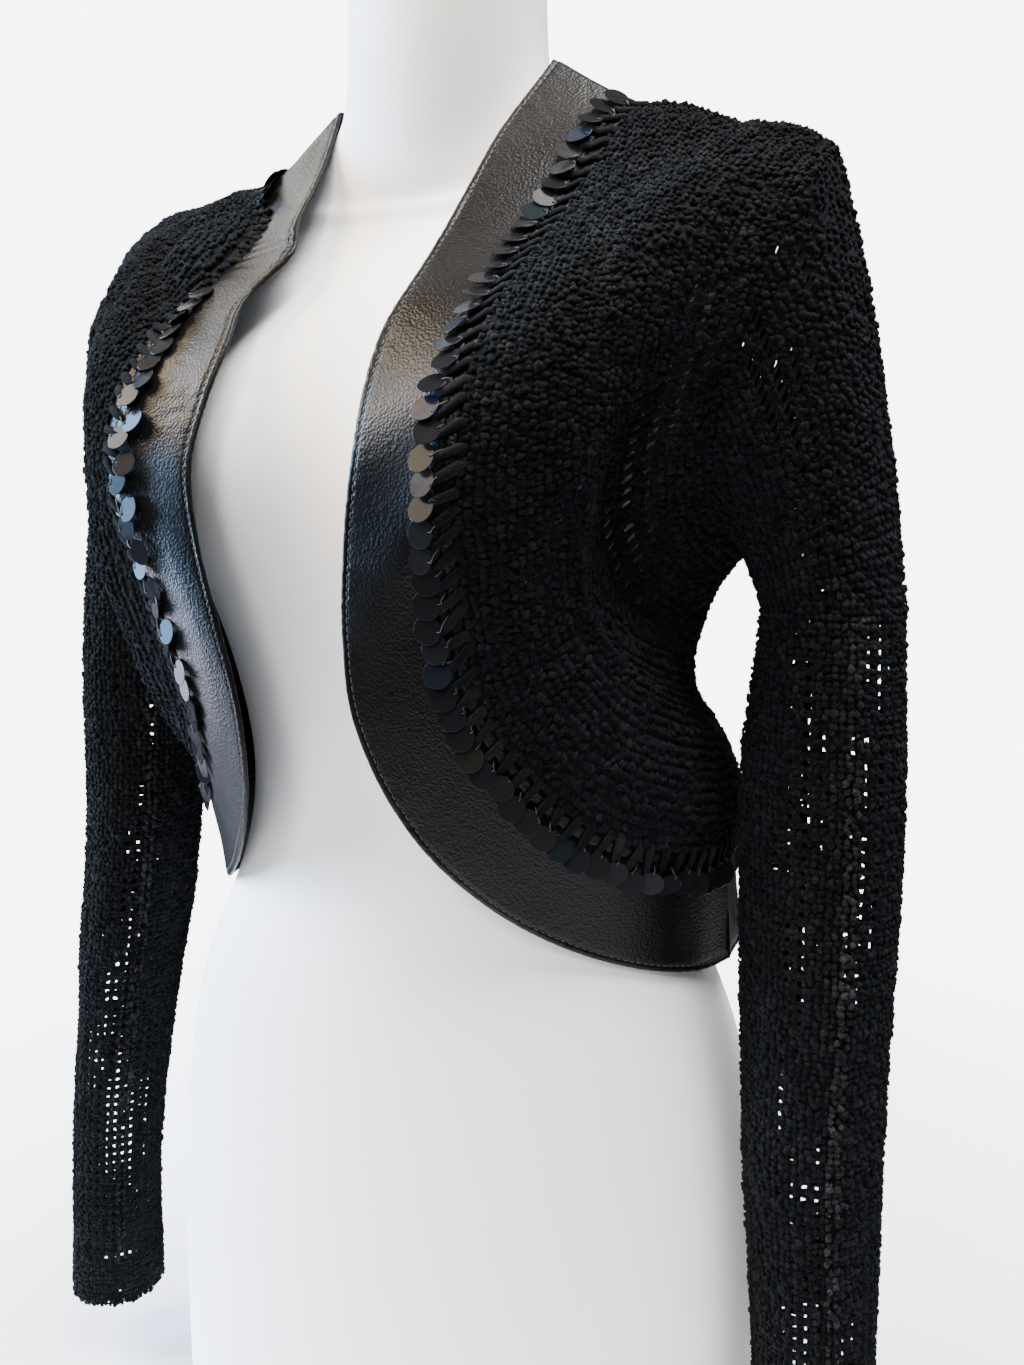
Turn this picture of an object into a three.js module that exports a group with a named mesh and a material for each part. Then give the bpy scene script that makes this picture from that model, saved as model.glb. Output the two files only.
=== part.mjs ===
// Crochet bolero jacket with a leather band, on a limbless torso dress form.
// Millimetres, +Z up. The wearer faces -Y and the wearer's left side is +X.
// Every panel is a grid of points on a patch between four named curves, thickened to a wall.

import * as THREE from 'three';

// Driving sizes
const KNIT_WALL = 2.4;
const LEATHER_WALL = 2.4;
const SEAM_GAP = 0.34;
const ARMHOLE_STEP = 0.61;
const HIP_SWAY = 16;
const SWAY_TOP = 540;
const SWAY_BOTTOM = 390;

// Cells along each seam; a front has two cells to one of the back and the sleeve
const SHOULDER_CELLS = 6;
const NECK_CELLS = 8;
const ARMHOLE_CELLS = 12;
const SIDE_CELLS = 12;
const BAND_CELLS = 3;
const CAP_CELLS = 6;
const TUBE_CELLS = 13;
const CUFF_CELLS = 2;
const FORM_ROUND_CELLS = 32;
const FORM_TORSO_CELLS = 17;

const CUFF_TOP = 74;
const CUFF_BOTTOM = 43;
const NECK_STUB_TOP = 832;

// Inner edge of the leather band, where the knit starts: shoulder, front, hem, side (left half)
// columns: x, y, z
const BAND_INNER = [
  [104, 1, 719],
  [97, -15, 707],
  [91, -30, 683],
  [88, -46, 663],
  [86, -66, 644],
  [84, -100, 611],
  [85, -117, 586],
  [86, -123, 560],
  [84, -122, 536],
  [81, -113, 508],
  [78, -106, 476],
  [79, -98, 453],
  [87, -87, 432],
  [100, -71, 411],
  [118, -52, 397],
  [133, -29, 390],
  [140, -5, 387],
  [141, 18, 386],
];

// Outer edge of the band, the edge of the opening (left half)
// columns: x, y, z
const BAND_OUTER = [
  [60, 5, 746],
  [49, -23, 709],
  [46, -42, 683],
  [44, -69, 649],
  [40, -99, 612],
  [41, -114, 583],
  [42, -122, 556],
  [38, -122, 521],
  [33, -120, 489],
  [31, -117, 456],
  [38, -109, 423],
  [51, -98, 397],
  [71, -80, 373],
  [94, -60, 355],
  [119, -35, 342],
  [139, -7, 335],
  [146, 20, 334],
];

// Shoulder seam from the neck to the shoulder tip
// columns: x, y, z
const SHOULDER_SEAM = [
  [104, 1, 719],
  [124, 2, 717],
  [150, 4, 707],
  [176, 6, 702],
  [192, 7, 692],
];

// Armhole from the shoulder tip to the underarm
// columns: x, y in front, y at the back, z
const ARMHOLE = [
  [192, 7, 7, 692],
  [188, -22, 30, 671],
  [176, -36, 48, 630],
  [163, -38, 54, 588],
  [157, -24, 40, 550],
  [163, 8, 8, 528],
];

// Side seam from the hem up to the underarm, pinched in at the waist
// columns: x, y, z
const SIDE_SEAM = [
  [141, 18, 386],
  [144, 17, 398],
  [146, 16, 415],
  [141, 15, 436],
  [130, 14, 456],
  [130, 13, 470],
  [139, 11, 494],
  [149, 10, 512],
  [163, 8, 528],
];

// Back neck, from the shoulder to the centre of the back: inner and outer edge of the band
// columns: x, y, z
const NECK_INNER = [
  [104, 1, 719],
  [95, 35, 715],
  [66, 68, 710],
  [33, 83, 705],
  [0, 87, 704],
];
const NECK_OUTER = [
  [60, 5, 746],
  [54, 34, 750],
  [38, 54, 755],
  [20, 63, 758],
  [0, 66, 759],
];

// Back hem, from the side to the centre of the back: inner and outer edge of the band
// columns: x, y, z
const HEM_INNER = [
  [141, 18, 386],
  [132, 58, 385],
  [95, 91, 384],
  [48, 105, 383],
  [0, 108, 383],
];
const HEM_OUTER = [
  [146, 20, 334],
  [137, 62, 333],
  [99, 97, 332],
  [51, 112, 332],
  [0, 116, 332],
];

// Sleeve tube below the underarm
// columns: z, centre x, centre y, half width across, half width front to back
const SLEEVE = [
  [506, 202, 2, 30, 33],
  [478, 202, 1, 32, 34],
  [440, 203, 0, 34, 34],
  [392, 205, 0, 34, 34],
  [320, 208, -4, 32, 33],
  [274, 211, -8, 30.5, 32],
  [226, 215, -9, 28.5, 30],
  [176, 218, -11, 27, 28],
  [110, 221, -12, 26, 27],
  [60, 222, -12, 26.5, 27.5],
  [28, 222, -13, 27, 28],
];
const CAP_ROUNDNESS = 0.62;
const RIGHT_FOLDS_TURN = 37;
const FOLDS_SHIFT = 9;
const RIGHT_ELBOW = { z: 345, halfHeight: 110, inward: 7 };

// Soft folds in a sleeve, raised or sunk along a slanting line
// columns: z at the middle, angle from the outside towards the front, depth, half length, half width, slant
const SLEEVE_FOLDS = [
  [585, 62, -3.5, 46, 22, 8],
  [560, 118, 3, 40, 24, 10],
  [468, 150, -3, 34, 26, 16],
  [430, 34, 2.2, 60, 22, 6],
  [398, 96, -2.6, 44, 24, -14],
  [372, 205, -2.8, 40, 26, 12],
  [338, 60, 2.4, 36, 26, 18],
  [296, 140, -2.4, 40, 26, -12],
  [250, 20, -1.8, 44, 22, 8],
  [208, 100, 2, 40, 26, 14],
  [150, 170, -1.8, 44, 26, -8],
];

// Folds of a front: u runs from the band to the armhole, v from the shoulder to the side seam
// columns: u and v where the fold starts, u and v where it ends, height, half width
const FRONT_FOLDS = [
  [0.52, 0.46, 0.46, 1.0, 8, 0.13],
  [0.74, 0.5, 0.62, 1.0, -9, 0.1],
  [0.9, 0.16, 0.82, 0.5, -4, 0.1],
  [0.6, 0.12, 0.55, 0.4, 3, 0.14],
];
const SEAM_RAMP = 6;
const FOLD_ENDS = { rate: 3, before: 0.4, after: 0.6 };
const FRONT_FULLNESS = { left: 13, right: 19 };

// Folds of the back, from the left armhole (u 0) to the right one, from the neck down
// columns: u and v where the fold starts, u and v where it ends, height, half width
const BACK_FOLDS = [
  [0.1, 0.34, 0.3, 1.0, 5, 0.07],
  [0.24, 0.3, 0.42, 0.95, -4, 0.06],
  [0.93, 0.36, 0.74, 1.0, 5, 0.07],
  [0.8, 0.3, 0.6, 0.9, -4, 0.06],
  [0.52, 0.5, 0.5, 1.0, 3, 0.06],
];

// Line down the middle of the back, and how its width rounds off to the sides
// columns: z, y
const BACK_MIDDLE = [
  [704, 87],
  [672, 97],
  [624, 104],
  [565, 105],
  [500, 100],
  [440, 101],
  [383, 108],
];
const BACK_ROUNDING = { square: 2.4, corner: 0.72, yokeReach: 0.5, yokeTurn: 3.6, hemReach: 0.5 };

// The knit of the right front folds over the band below the collarbone
const COLLAR_FOLD = { v: 0.19, halfAcross: 0.55, halfAlong: 0.16, lift: 11, overhang: 9, clear: 3.2 };
const BAND_KINK = { z: 668, halfHeight: 20, shift: 5 };
const SHOULDER_SAG = { x: -100, halfWidth: 48, drop: 12, bottom: 655, top: 700 };

// Dress form, hip block to bust
// columns: z, half width, depth in front, depth behind, centre y
const FORM_TORSO = [
  [0, 166, 98, 112, 8],
  [90, 169, 100, 116, 8],
  [170, 171, 100, 119, 8],
  [250, 162, 97, 116, 8],
  [304, 149, 92, 108, 7],
  [345, 127, 84, 97, 6],
  [380, 117, 79, 88, 6],
  [420, 114, 78, 80, 5],
  [460, 118, 82, 77, 4],
  [500, 124, 88, 78, 3],
  [535, 129, 92, 78, 3],
  [565, 135, 92, 80, 3],
  [595, 138, 84, 80, 3],
  [620, 142, 73, 76, 4],
  [640, 149, 62, 66, 5],
];

// Dress form, shoulder tip to neck: each row is one saddle-shaped ring
// columns: half width, depth in front, depth behind, centre y, height at the side, in front, behind
const FORM_SHOULDER = [
  [154, 46, 46, 6, 662, 654, 652],
  [159, 36, 34, 6, 677, 666, 660],
  [153, 30, 28, 6, 687, 673, 665],
  [144, 27, 25, 5, 694, 677, 669],
  [121, 25, 25, 3, 698, 682, 674],
  [103, 23, 27, 4, 700, 685, 679],
  [80, 25, 34, 6, 710, 689, 691],
  [66, 29, 41, 8, 722, 695, 708],
  [55, 32, 43, 9, 735, 706, 726],
  [51, 38, 43, 9, 757, 734, 750],
  [49, 41, 44, 8, 792, 784, 790],
];
const BUST = { x: 72, z: 562, rise: 30, halfWidth: 42, halfHeight: 52 };

// Geometry helpers

const vec = (x, y, z) => new THREE.Vector3(x, y, z);
const smooth = (t) => t * t * (3 - 2 * t);
const clamp01 = (t) => Math.min(1, Math.max(0, t));
const bell = (distance, half) => Math.exp(-((distance / half) ** 2));
const mirrored = (rows) => rows.map(([x, ...rest]) => [-x, ...rest]);
const backwards = (rows) => [...rows].reverse();
const bothHalves = (rows) => [...rows, ...backwards(mirrored(rows)).slice(1)];

// Sideways shift of the waist and hips
function sway(z) {
  return HIP_SWAY * smooth(clamp01((SWAY_TOP - z) / (SWAY_TOP - SWAY_BOTTOM)));
}

// The garment leans with the body, and its right shoulder sags beside the neck
function placeOnBody(p, swayed) {
  const { x, halfWidth, drop, bottom, top } = SHOULDER_SAG;
  const sag = drop * bell(p.x - x, halfWidth) * smooth(clamp01((p.z - bottom) / (top - bottom)));
  return vec(p.x + (swayed ? sway(p.z) : 0), p.y, p.z - sag);
}

// Evenly spaced points on a smooth curve through the rows of a table
function pointsAlong(rows, cells) {
  const knots = rows.map(([x, y, z]) => vec(x, y, z));
  const curve = new THREE.CatmullRomCurve3(knots, false, 'centripetal');
  curve.arcLengthDivisions = 400;
  return curve.getSpacedPoints(cells);
}

// The same points with the midpoint of each cell added
function halved(points) {
  return points.flatMap((p, k) => (k === 0 ? [p] : [points[k - 1].clone().lerp(p, 0.5), p]));
}

// Row of a table at any key in its first column, each column a smooth curve
function tableAt(rows, key) {
  const rising = rows[1][0] > rows[0][0];
  let k = rows.findIndex((row) => (rising ? row[0] > key : row[0] < key)) - 1;
  if (k < 0) k = rising === key > rows[0][0] ? rows.length - 2 : 0;
  const [a, b] = [rows[k], rows[k + 1]];
  const before = rows[Math.max(k - 1, 0)];
  const after = rows[Math.min(k + 2, rows.length - 1)];
  const span = b[0] - a[0];
  const t = clamp01((key - a[0]) / span);
  return a.map((value, c) => {
    const leaving = ((b[c] - before[c]) / (b[0] - before[0])) * span;
    const arriving = ((after[c] - value) / (after[0] - a[0])) * span;
    const rise = smooth(t);
    return value * (1 - rise) + b[c] * rise + leaving * t * (1 - t) ** 2 - arriving * t * t * (1 - t);
  });
}

// Grid of points on the patch between four rows of points that meet at the corners
function patchGrid(start, end, near, far) {
  const across = start.length - 1;
  const along = near.length - 1;
  return start.map((_, i) => near.map((__, j) => {
    const u = i / across;
    const v = j / along;
    const ruled = (k) => start[k].clone().lerp(end[k], v);
    const p = ruled(i).addScaledVector(near[j].clone().sub(ruled(0)), 1 - u);
    return p.addScaledVector(far[j].clone().sub(ruled(across)), u);
  }));
}

// Unit normals of a grid; side is 1 or -1 and turns them outward
function gridNormals(grid, side, closed = false) {
  const columns = grid.length;
  const rows = grid[0].length;
  return grid.map((column, i) => column.map((_, j) => {
    const before = closed ? (i + columns - 1) % columns : Math.max(i - 1, 0);
    const after = closed ? (i + 1) % columns : Math.min(i + 1, columns - 1);
    const du = grid[after][j].clone().sub(grid[before][j]);
    const dv = grid[i][Math.min(j + 1, rows - 1)].clone().sub(grid[i][Math.max(j - 1, 0)]);
    return du.cross(dv).normalize().multiplyScalar(side);
  }));
}

function makeSheet(grid, side, thickness, { closed = false, swayed = true } = {}) {
  return { grid, side, thickness, closed, swayed, normals: gridNormals(grid, side, closed) };
}

// Sheets that meet at a point share one normal there, so that their walls stay side by side
function shareNormals(sheets) {
  const meeting = new Map();
  for (const sheet of sheets) {
    sheet.grid.forEach((column, i) => column.forEach((p, j) => {
      const key = [p.x, p.y, p.z].map((value) => Math.round(value * 50)).join(' ');
      if (!meeting.has(key)) meeting.set(key, []);
      meeting.get(key).push(sheet.normals[i][j]);
    }));
  }
  for (const normals of meeting.values()) {
    if (normals.length > 1) {
      const mean = vec(0, 0, 0);
      normals.forEach((normal) => mean.add(normal));
      normals.forEach((normal) => normal.copy(mean).normalize());
    }
  }
}

// Cells [column, row] along one edge of a sheet
function edgeCells(sheet, edge) {
  const lastColumn = sheet.grid.length - 1;
  const lastRow = sheet.grid[0].length - 1;
  if (edge === 'near') return sheet.grid[0].map((_, j) => [0, j]);
  if (edge === 'far') return sheet.grid[0].map((_, j) => [lastColumn, j]);
  if (edge === 'start') return sheet.grid.map((_, i) => [i, 0]);
  return sheet.grid.map((_, i) => [i, lastRow]);
}

// Every second normal of a halved edge lies between its neighbours
function straightenNormals(sheet, edge) {
  const cells = edgeCells(sheet, edge);
  for (let k = 1; k < cells.length - 1; k += 2) {
    const [[a, b], [i, j], [c, d]] = cells.slice(k - 1, k + 2);
    sheet.normals[i][j].copy(sheet.normals[a][b]).add(sheet.normals[c][d]).multiplyScalar(0.5);
  }
}

// An edge steps back from its seam by half the gap, along the surface
function stepBack(sheet, edge, distance = SEAM_GAP / 2) {
  const [di, dj] = { near: [1, 0], far: [-1, 0], start: [0, 1], end: [0, -1] }[edge];
  const steps = edgeCells(sheet, edge).map(([i, j]) => {
    const inward = sheet.grid[i + di][j + dj].clone().sub(sheet.grid[i][j]);
    const normal = sheet.normals[i][j];
    inward.addScaledVector(normal, -inward.dot(normal));
    return [sheet.grid[i][j], inward.setLength(distance)];
  });
  steps.forEach(([point, step]) => point.add(step));
}

// Wall between the points of a sheet and the same points moved in by its thickness
function wallGeometry(sheet) {
  const { grid, normals, thickness, closed } = sheet;
  const columns = grid.length;
  const rows = grid[0].length;
  const positions = [];
  const index = [];
  const at = (layer, i, j) => (layer * columns + (i % columns)) * rows + j;
  for (const depth of [0, thickness]) {
    grid.forEach((column, i) => column.forEach((p, j) => {
      const q = placeOnBody(p, sheet.swayed).addScaledVector(normals[i][j], -depth);
      positions.push(q.x, q.y, q.z);
    }));
  }
  const quad = (a, b, c, d) => {
    if (sheet.side > 0) index.push(a, b, c, a, c, d);
    else index.push(a, c, b, a, d, c);
  };
  const spans = closed ? columns : columns - 1;
  for (let i = 0; i < spans; i += 1) {
    for (let j = 0; j < rows - 1; j += 1) {
      quad(at(0, i, j), at(0, i + 1, j), at(0, i + 1, j + 1), at(0, i, j + 1));
      quad(at(1, i, j), at(1, i, j + 1), at(1, i + 1, j + 1), at(1, i + 1, j));
    }
    quad(at(0, i, 0), at(1, i, 0), at(1, i + 1, 0), at(0, i + 1, 0));
    quad(at(0, i, rows - 1), at(0, i + 1, rows - 1), at(1, i + 1, rows - 1), at(1, i, rows - 1));
  }
  if (!closed) {
    const last = columns - 1;
    for (let j = 0; j < rows - 1; j += 1) {
      quad(at(0, 0, j), at(0, 0, j + 1), at(1, 0, j + 1), at(1, 0, j));
      quad(at(0, last, j), at(1, last, j), at(1, last, j + 1), at(0, last, j + 1));
    }
  }
  const geometry = new THREE.BufferGeometry();
  geometry.setAttribute('position', new THREE.Float32BufferAttribute(positions, 3));
  geometry.setIndex(index);
  return geometry;
}

// Seam lines, as rows of points on the left half

const armholeFront = pointsAlong(ARMHOLE.map(([x, front, , z]) => [x, front, z]), ARMHOLE_CELLS);
const armholeBack = pointsAlong(ARMHOLE.map(([x, , back, z]) => [x, back, z]), ARMHOLE_CELLS);
const shoulderSeam = pointsAlong(SHOULDER_SEAM, SHOULDER_CELLS);
const sideSeam = pointsAlong(SIDE_SEAM, SIDE_CELLS);
const mirrorPoint = (p) => vec(-p.x, p.y, p.z);
const mirrorPoints = (points) => points.map(mirrorPoint);

// Body panels

// Height of a panel's folds at a place on its patch
function foldHeight(folds, u, v) {
  const { rate, before, after } = FOLD_ENDS;
  return folds.reduce((height, [u0, v0, u1, v1, rise, half]) => {
    const length = Math.hypot(u1 - u0, v1 - v0);
    const along = ((u - u0) * (u1 - u0) + (v - v0) * (v1 - v0)) / length ** 2;
    const aside = ((u - u0) * (v1 - v0) - (v - v0) * (u1 - u0)) / length;
    const rising = smooth(clamp01(along * rate + before));
    const falling = smooth(clamp01((1 - along) * rate + after));
    return height + rise * bell(aside, half) * rising * falling;
  }, 0);
}

// Share of a fold's height that is left towards the seams of a panel
function awayFromSeams(u, v) {
  return Math.min(1, SEAM_RAMP * u, SEAM_RAMP * (1 - u), SEAM_RAMP * v, SEAM_RAMP * (1 - v));
}

// The knit of the right front folds over the band below the collarbone
function raiseCollarFold({ grid, normals }) {
  const { v: centre, halfAcross, halfAlong, lift, overhang, clear } = COLLAR_FOLD;
  const across = grid.length - 1;
  const along = grid[0].length - 1;
  const towardsBand = grid[0].map((p, j) => p.clone().sub(grid[1][j]).normalize());
  grid.forEach((column, i) => column.forEach((p, j) => {
    const distance = Math.hypot((j / along - centre) / halfAlong, i / across / halfAcross);
    const height = lift * smooth(clamp01(1 - distance));
    p.addScaledVector(normals[i][j], height);
    const over = overhang * smooth(clamp01((height - clear) / (lift - clear)));
    if (i === 0) p.addScaledVector(towardsBand[j], over);
  }));
}

function frontSheet(sign) {
  const flip = (points) => (sign > 0 ? points : mirrorPoints(points));
  const near = pointsAlong(BAND_INNER, 2 * ARMHOLE_CELLS);
  const shoulder = flip(halved(shoulderSeam));
  const armhole = flip(halved(armholeFront));
  const grid = patchGrid(shoulder, flip(sideSeam), flip(near), armhole);
  const flat = gridNormals(grid, -sign);
  const across = grid.length - 1;
  const along = grid[0].length - 1;
  grid.forEach((column, i) => column.forEach((p, j) => {
    const u = i / across;
    const v = j / along;
    const fullness = sign > 0 ? FRONT_FULLNESS.left : FRONT_FULLNESS.right;
    const full = fullness * Math.sin(Math.PI * u) * Math.sin(Math.PI * v);
    p.addScaledVector(flat[i][j], full + foldHeight(FRONT_FOLDS, u, v) * awayFromSeams(u, v));
  }));
  return makeSheet(grid, -sign, KNIT_WALL);
}

// Each row of the back is one rounded section between its side edges; the shoulders,
// the neck and the hem pull the rows beside them onto their own lines
function backSheet() {
  const { square, corner, yokeReach, yokeTurn, hemReach } = BACK_ROUNDING;
  const neck = pointsAlong(bothHalves(NECK_INNER), NECK_CELLS);
  const top = [...backwards(shoulderSeam), ...neck.slice(1), ...mirrorPoints(shoulderSeam).slice(1)];
  const hem = pointsAlong(bothHalves(HEM_INNER), top.length - 1);
  const edge = [...armholeBack, ...backwards(sideSeam).slice(1)];
  const along = edge.length - 1;
  const highest = BACK_MIDDLE[0][0];
  const lowest = BACK_MIDDLE[BACK_MIDDLE.length - 1][0];
  const onSection = (i, j) => {
    const side = top[i].x / top[0].x;
    const rounded = (1 - Math.min(1, Math.abs(side)) ** square) ** corner;
    const middle = highest + ((lowest - highest) * j) / along;
    const y = edge[j].y + (tableAt(BACK_MIDDLE, middle)[1] - edge[j].y) * rounded;
    return vec(side * edge[j].x, y, edge[j].z + (middle - edge[j].z) * rounded);
  };
  const grid = top.map((_, i) => edge.map((__, j) => {
    const v = j / along;
    const p = onSection(i, j);
    const ofTop = clamp01(1 - v / yokeReach) ** yokeTurn;
    const ofHem = smooth(clamp01(1 - (1 - v) / hemReach));
    p.addScaledVector(top[i].clone().sub(onSection(i, 0)), ofTop);
    return p.addScaledVector(hem[i].clone().sub(onSection(i, along)), ofHem);
  }));
  const flat = gridNormals(grid, -1);
  grid.forEach((column, i) => column.forEach((p, j) => {
    const u = i / (grid.length - 1);
    const v = j / along;
    p.addScaledVector(flat[i][j], foldHeight(BACK_FOLDS, u, v) * awayFromSeams(u, v));
  }));
  return makeSheet(grid, -1, KNIT_WALL);
}

// Leather band: strips between its inner and outer edge

function bandSheet(inner, outer, side, alongFirst) {
  const strip = [];
  for (let k = 0; k <= BAND_CELLS; k += 1) {
    strip.push(inner.map((p, j) => p.clone().lerp(outer[j], k / BAND_CELLS)));
  }
  const grid = alongFirst ? inner.map((_, j) => strip.map((row) => row[j])) : strip;
  return makeSheet(grid, side, LEATHER_WALL);
}

function frontBandSheet(sign) {
  const inner = pointsAlong(BAND_INNER, 2 * ARMHOLE_CELLS);
  const outer = pointsAlong(BAND_OUTER, 2 * ARMHOLE_CELLS);
  if (sign > 0) return bandSheet(inner, outer, 1, false);
  outer.forEach((p) => {
    p.x += BAND_KINK.shift * bell(p.z - BAND_KINK.z, BAND_KINK.halfHeight);
  });
  return bandSheet(mirrorPoints(inner), mirrorPoints(outer), -1, false);
}

// Sleeves and cuffs

function sleeveFold(z, angle, sign) {
  return SLEEVE_FOLDS.reduce((depth, [height, direction, rise, halfLength, halfWidth, slant]) => {
    const turn = sign > 0 ? 0 : RIGHT_FOLDS_TURN;
    const along = (z - height - sign * FOLDS_SHIFT) / halfLength;
    let aside = angle - direction - turn - slant * along;
    aside = ((aside + 540) % 360) - 180;
    return depth + rise * bell(along, 1) * bell(aside, halfWidth);
  }, 0);
}

// Points of a horizontal ring of the sleeve, from the outside round by the front
function sleeveRing(z, cells, sign, folded) {
  const [, cx, cy, halfAcross, halfDeep] = tableAt(SLEEVE, z);
  const bend = sign < 0 ? RIGHT_ELBOW.inward * bell(z - RIGHT_ELBOW.z, RIGHT_ELBOW.halfHeight) : 0;
  const ring = [];
  for (let k = 0; k < cells; k += 1) {
    const angle = (2 * Math.PI * k) / cells;
    const fold = folded ? sleeveFold(z, (360 * k) / cells, sign) : 0;
    const x = cx - bend + (halfAcross + fold) * Math.cos(angle);
    ring.push(vec(sign * x, cy - (halfDeep + fold) * Math.sin(angle), z));
  }
  return ring;
}

function sleeveSheet(sign) {
  const armhole = [...armholeFront, ...backwards(armholeBack).slice(1, -1)];
  const loop = sign > 0 ? armhole : mirrorPoints(armhole);
  const capEnd = sleeveRing(SLEEVE[0][0], loop.length, sign, true);
  const rings = [];
  for (let k = 0; k < CAP_CELLS; k += 1) {
    const t = k / CAP_CELLS;
    rings.push(loop.map((a, i) => {
      const b = capEnd[i];
      const turn = vec(
        a.x + CAP_ROUNDNESS * (b.x - a.x),
        (a.y + b.y) / 2,
        b.z + CAP_ROUNDNESS * (a.z - b.z),
      );
      const p = a.clone().multiplyScalar((1 - t) ** 2);
      return p.addScaledVector(turn, 2 * t * (1 - t)).addScaledVector(b, t * t);
    }));
  }
  for (let k = 0; k <= TUBE_CELLS; k += 1) {
    const z = SLEEVE[0][0] + ((CUFF_TOP - SLEEVE[0][0]) * k) / TUBE_CELLS;
    rings.push(sleeveRing(z, loop.length, sign, true));
  }
  const grid = loop.map((_, i) => rings.map((ring) => ring[i]));
  return makeSheet(grid, sign, KNIT_WALL, { closed: true, swayed: false });
}

function cuffSheet(sign) {
  const rings = [];
  for (let k = 0; k <= CUFF_CELLS; k += 1) {
    const z = CUFF_TOP + ((CUFF_BOTTOM - CUFF_TOP) * k) / CUFF_CELLS;
    rings.push(sleeveRing(z, 2 * ARMHOLE_CELLS, sign, k === 0));
  }
  const grid = rings[0].map((_, i) => rings.map((ring) => ring[i]));
  return makeSheet(grid, sign, KNIT_WALL, { closed: true, swayed: false });
}

// Dress form: one closed body of stacked rings, with a flat foot and a flat neck top

function formGeometry() {
  const rings = [];
  const ringOf = (halfWidth, front, behind, cy, heightAt, bust) => {
    const ring = [];
    for (let k = 0; k < FORM_ROUND_CELLS; k += 1) {
      const angle = (2 * Math.PI * k) / FORM_ROUND_CELLS;
      const x = halfWidth * Math.cos(angle);
      const ahead = Math.sin(angle);
      const z = heightAt(Math.cos(angle) ** 2, ahead);
      const aside = bell(Math.abs(x) - BUST.x, BUST.halfWidth);
      const facing = bust ? clamp01(2 * ahead) : 0;
      const swell = BUST.rise * aside * bell(z - BUST.z, BUST.halfHeight) * facing;
      const y = cy - ahead * (ahead > 0 ? front : behind) - swell;
      ring.push(vec(x + sway(z), y, z));
    }
    return ring;
  };
  const topOfTorso = FORM_TORSO[FORM_TORSO.length - 1][0];
  for (let k = 0; k <= FORM_TORSO_CELLS; k += 1) {
    const z = (topOfTorso * k) / FORM_TORSO_CELLS;
    const [, halfWidth, front, behind, cy] = tableAt(FORM_TORSO, z);
    rings.push(ringOf(halfWidth, front, behind, cy, () => z, true));
  }
  for (const [halfWidth, front, behind, cy, side, ahead, back] of FORM_SHOULDER) {
    const height = (share, sine) => side * share + (sine > 0 ? ahead : back) * (1 - share);
    rings.push(ringOf(halfWidth, front, behind, cy, height, false));
  }
  const neck = FORM_SHOULDER[FORM_SHOULDER.length - 1];
  rings.push(ringOf(neck[0], neck[1], neck[2], neck[3], () => NECK_STUB_TOP, false));
  const positions = rings.flatMap((ring) => ring.flatMap((p) => [p.x, p.y, p.z]));
  const index = [];
  const at = (r, k) => r * FORM_ROUND_CELLS + (k % FORM_ROUND_CELLS);
  for (let r = 0; r < rings.length - 1; r += 1) {
    for (let k = 0; k < FORM_ROUND_CELLS; k += 1) {
      index.push(at(r, k), at(r + 1, k), at(r + 1, k + 1), at(r, k), at(r + 1, k + 1), at(r, k + 1));
    }
  }
  const top = rings.length - 1;
  for (let k = 1; k < FORM_ROUND_CELLS - 1; k += 1) {
    index.push(at(0, 0), at(0, k), at(0, k + 1));
    index.push(at(top, 0), at(top, k + 1), at(top, k));
  }
  const geometry = new THREE.BufferGeometry();
  geometry.setAttribute('position', new THREE.Float32BufferAttribute(positions, 3));
  geometry.setIndex(index);
  return geometry;
}

// Materials

const plain = (color, roughness) => new THREE.MeshStandardMaterial({ color, roughness, metalness: 0 });
const knitMaterial = () => plain(0x14161a, 0.95);
const leatherMaterial = () => plain(0x1b1b1e, 0.42);
const formMaterial = () => plain(0xeceaee, 0.7);

// Assembly

const sheets = {
  back: backSheet(),
  front_left: frontSheet(1),
  front_right: frontSheet(-1),
  sleeve_left: sleeveSheet(1),
  sleeve_right: sleeveSheet(-1),
  cuff_left: cuffSheet(1),
  cuff_right: cuffSheet(-1),
  band_front_left: frontBandSheet(1),
  band_front_right: frontBandSheet(-1),
  band_neck: bandSheet(
    pointsAlong(bothHalves(NECK_INNER), NECK_CELLS),
    pointsAlong(bothHalves(NECK_OUTER), NECK_CELLS),
    1,
    true,
  ),
  band_hem: bandSheet(
    pointsAlong(bothHalves(HEM_INNER), NECK_CELLS + 2 * SHOULDER_CELLS),
    pointsAlong(bothHalves(HEM_OUTER), NECK_CELLS + 2 * SHOULDER_CELLS),
    -1,
    true,
  ),
};

shareNormals(Object.values(sheets));
raiseCollarFold(sheets.front_right);

// Edges that meet another piece at a seam
const SEAMED_EDGES = {
  back: ['near', 'far', 'start', 'end'],
  front_left: ['near', 'far', 'start', 'end'],
  front_right: ['near', 'far', 'start', 'end'],
  sleeve_left: ['start', 'end'],
  sleeve_right: ['start', 'end'],
  cuff_left: ['start'],
  cuff_right: ['start'],
  band_front_left: ['near', 'start', 'end'],
  band_front_right: ['near', 'start', 'end'],
  band_neck: ['near', 'far', 'start'],
  band_hem: ['near', 'far', 'start'],
};
for (const name of ['front_left', 'front_right']) {
  straightenNormals(sheets[name], 'far');
  straightenNormals(sheets[name], 'start');
}
for (const [name, edges] of Object.entries(SEAMED_EDGES)) {
  const distance = name.startsWith('sleeve') ? ARMHOLE_STEP : SEAM_GAP / 2;
  edges.forEach((edge) => stepBack(sheets[name], edge, distance));
}

const group = new THREE.Group();

function addMesh(name, geometry, material) {
  const mesh = new THREE.Mesh(geometry, material);
  mesh.name = name;
  group.add(mesh);
}

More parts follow.
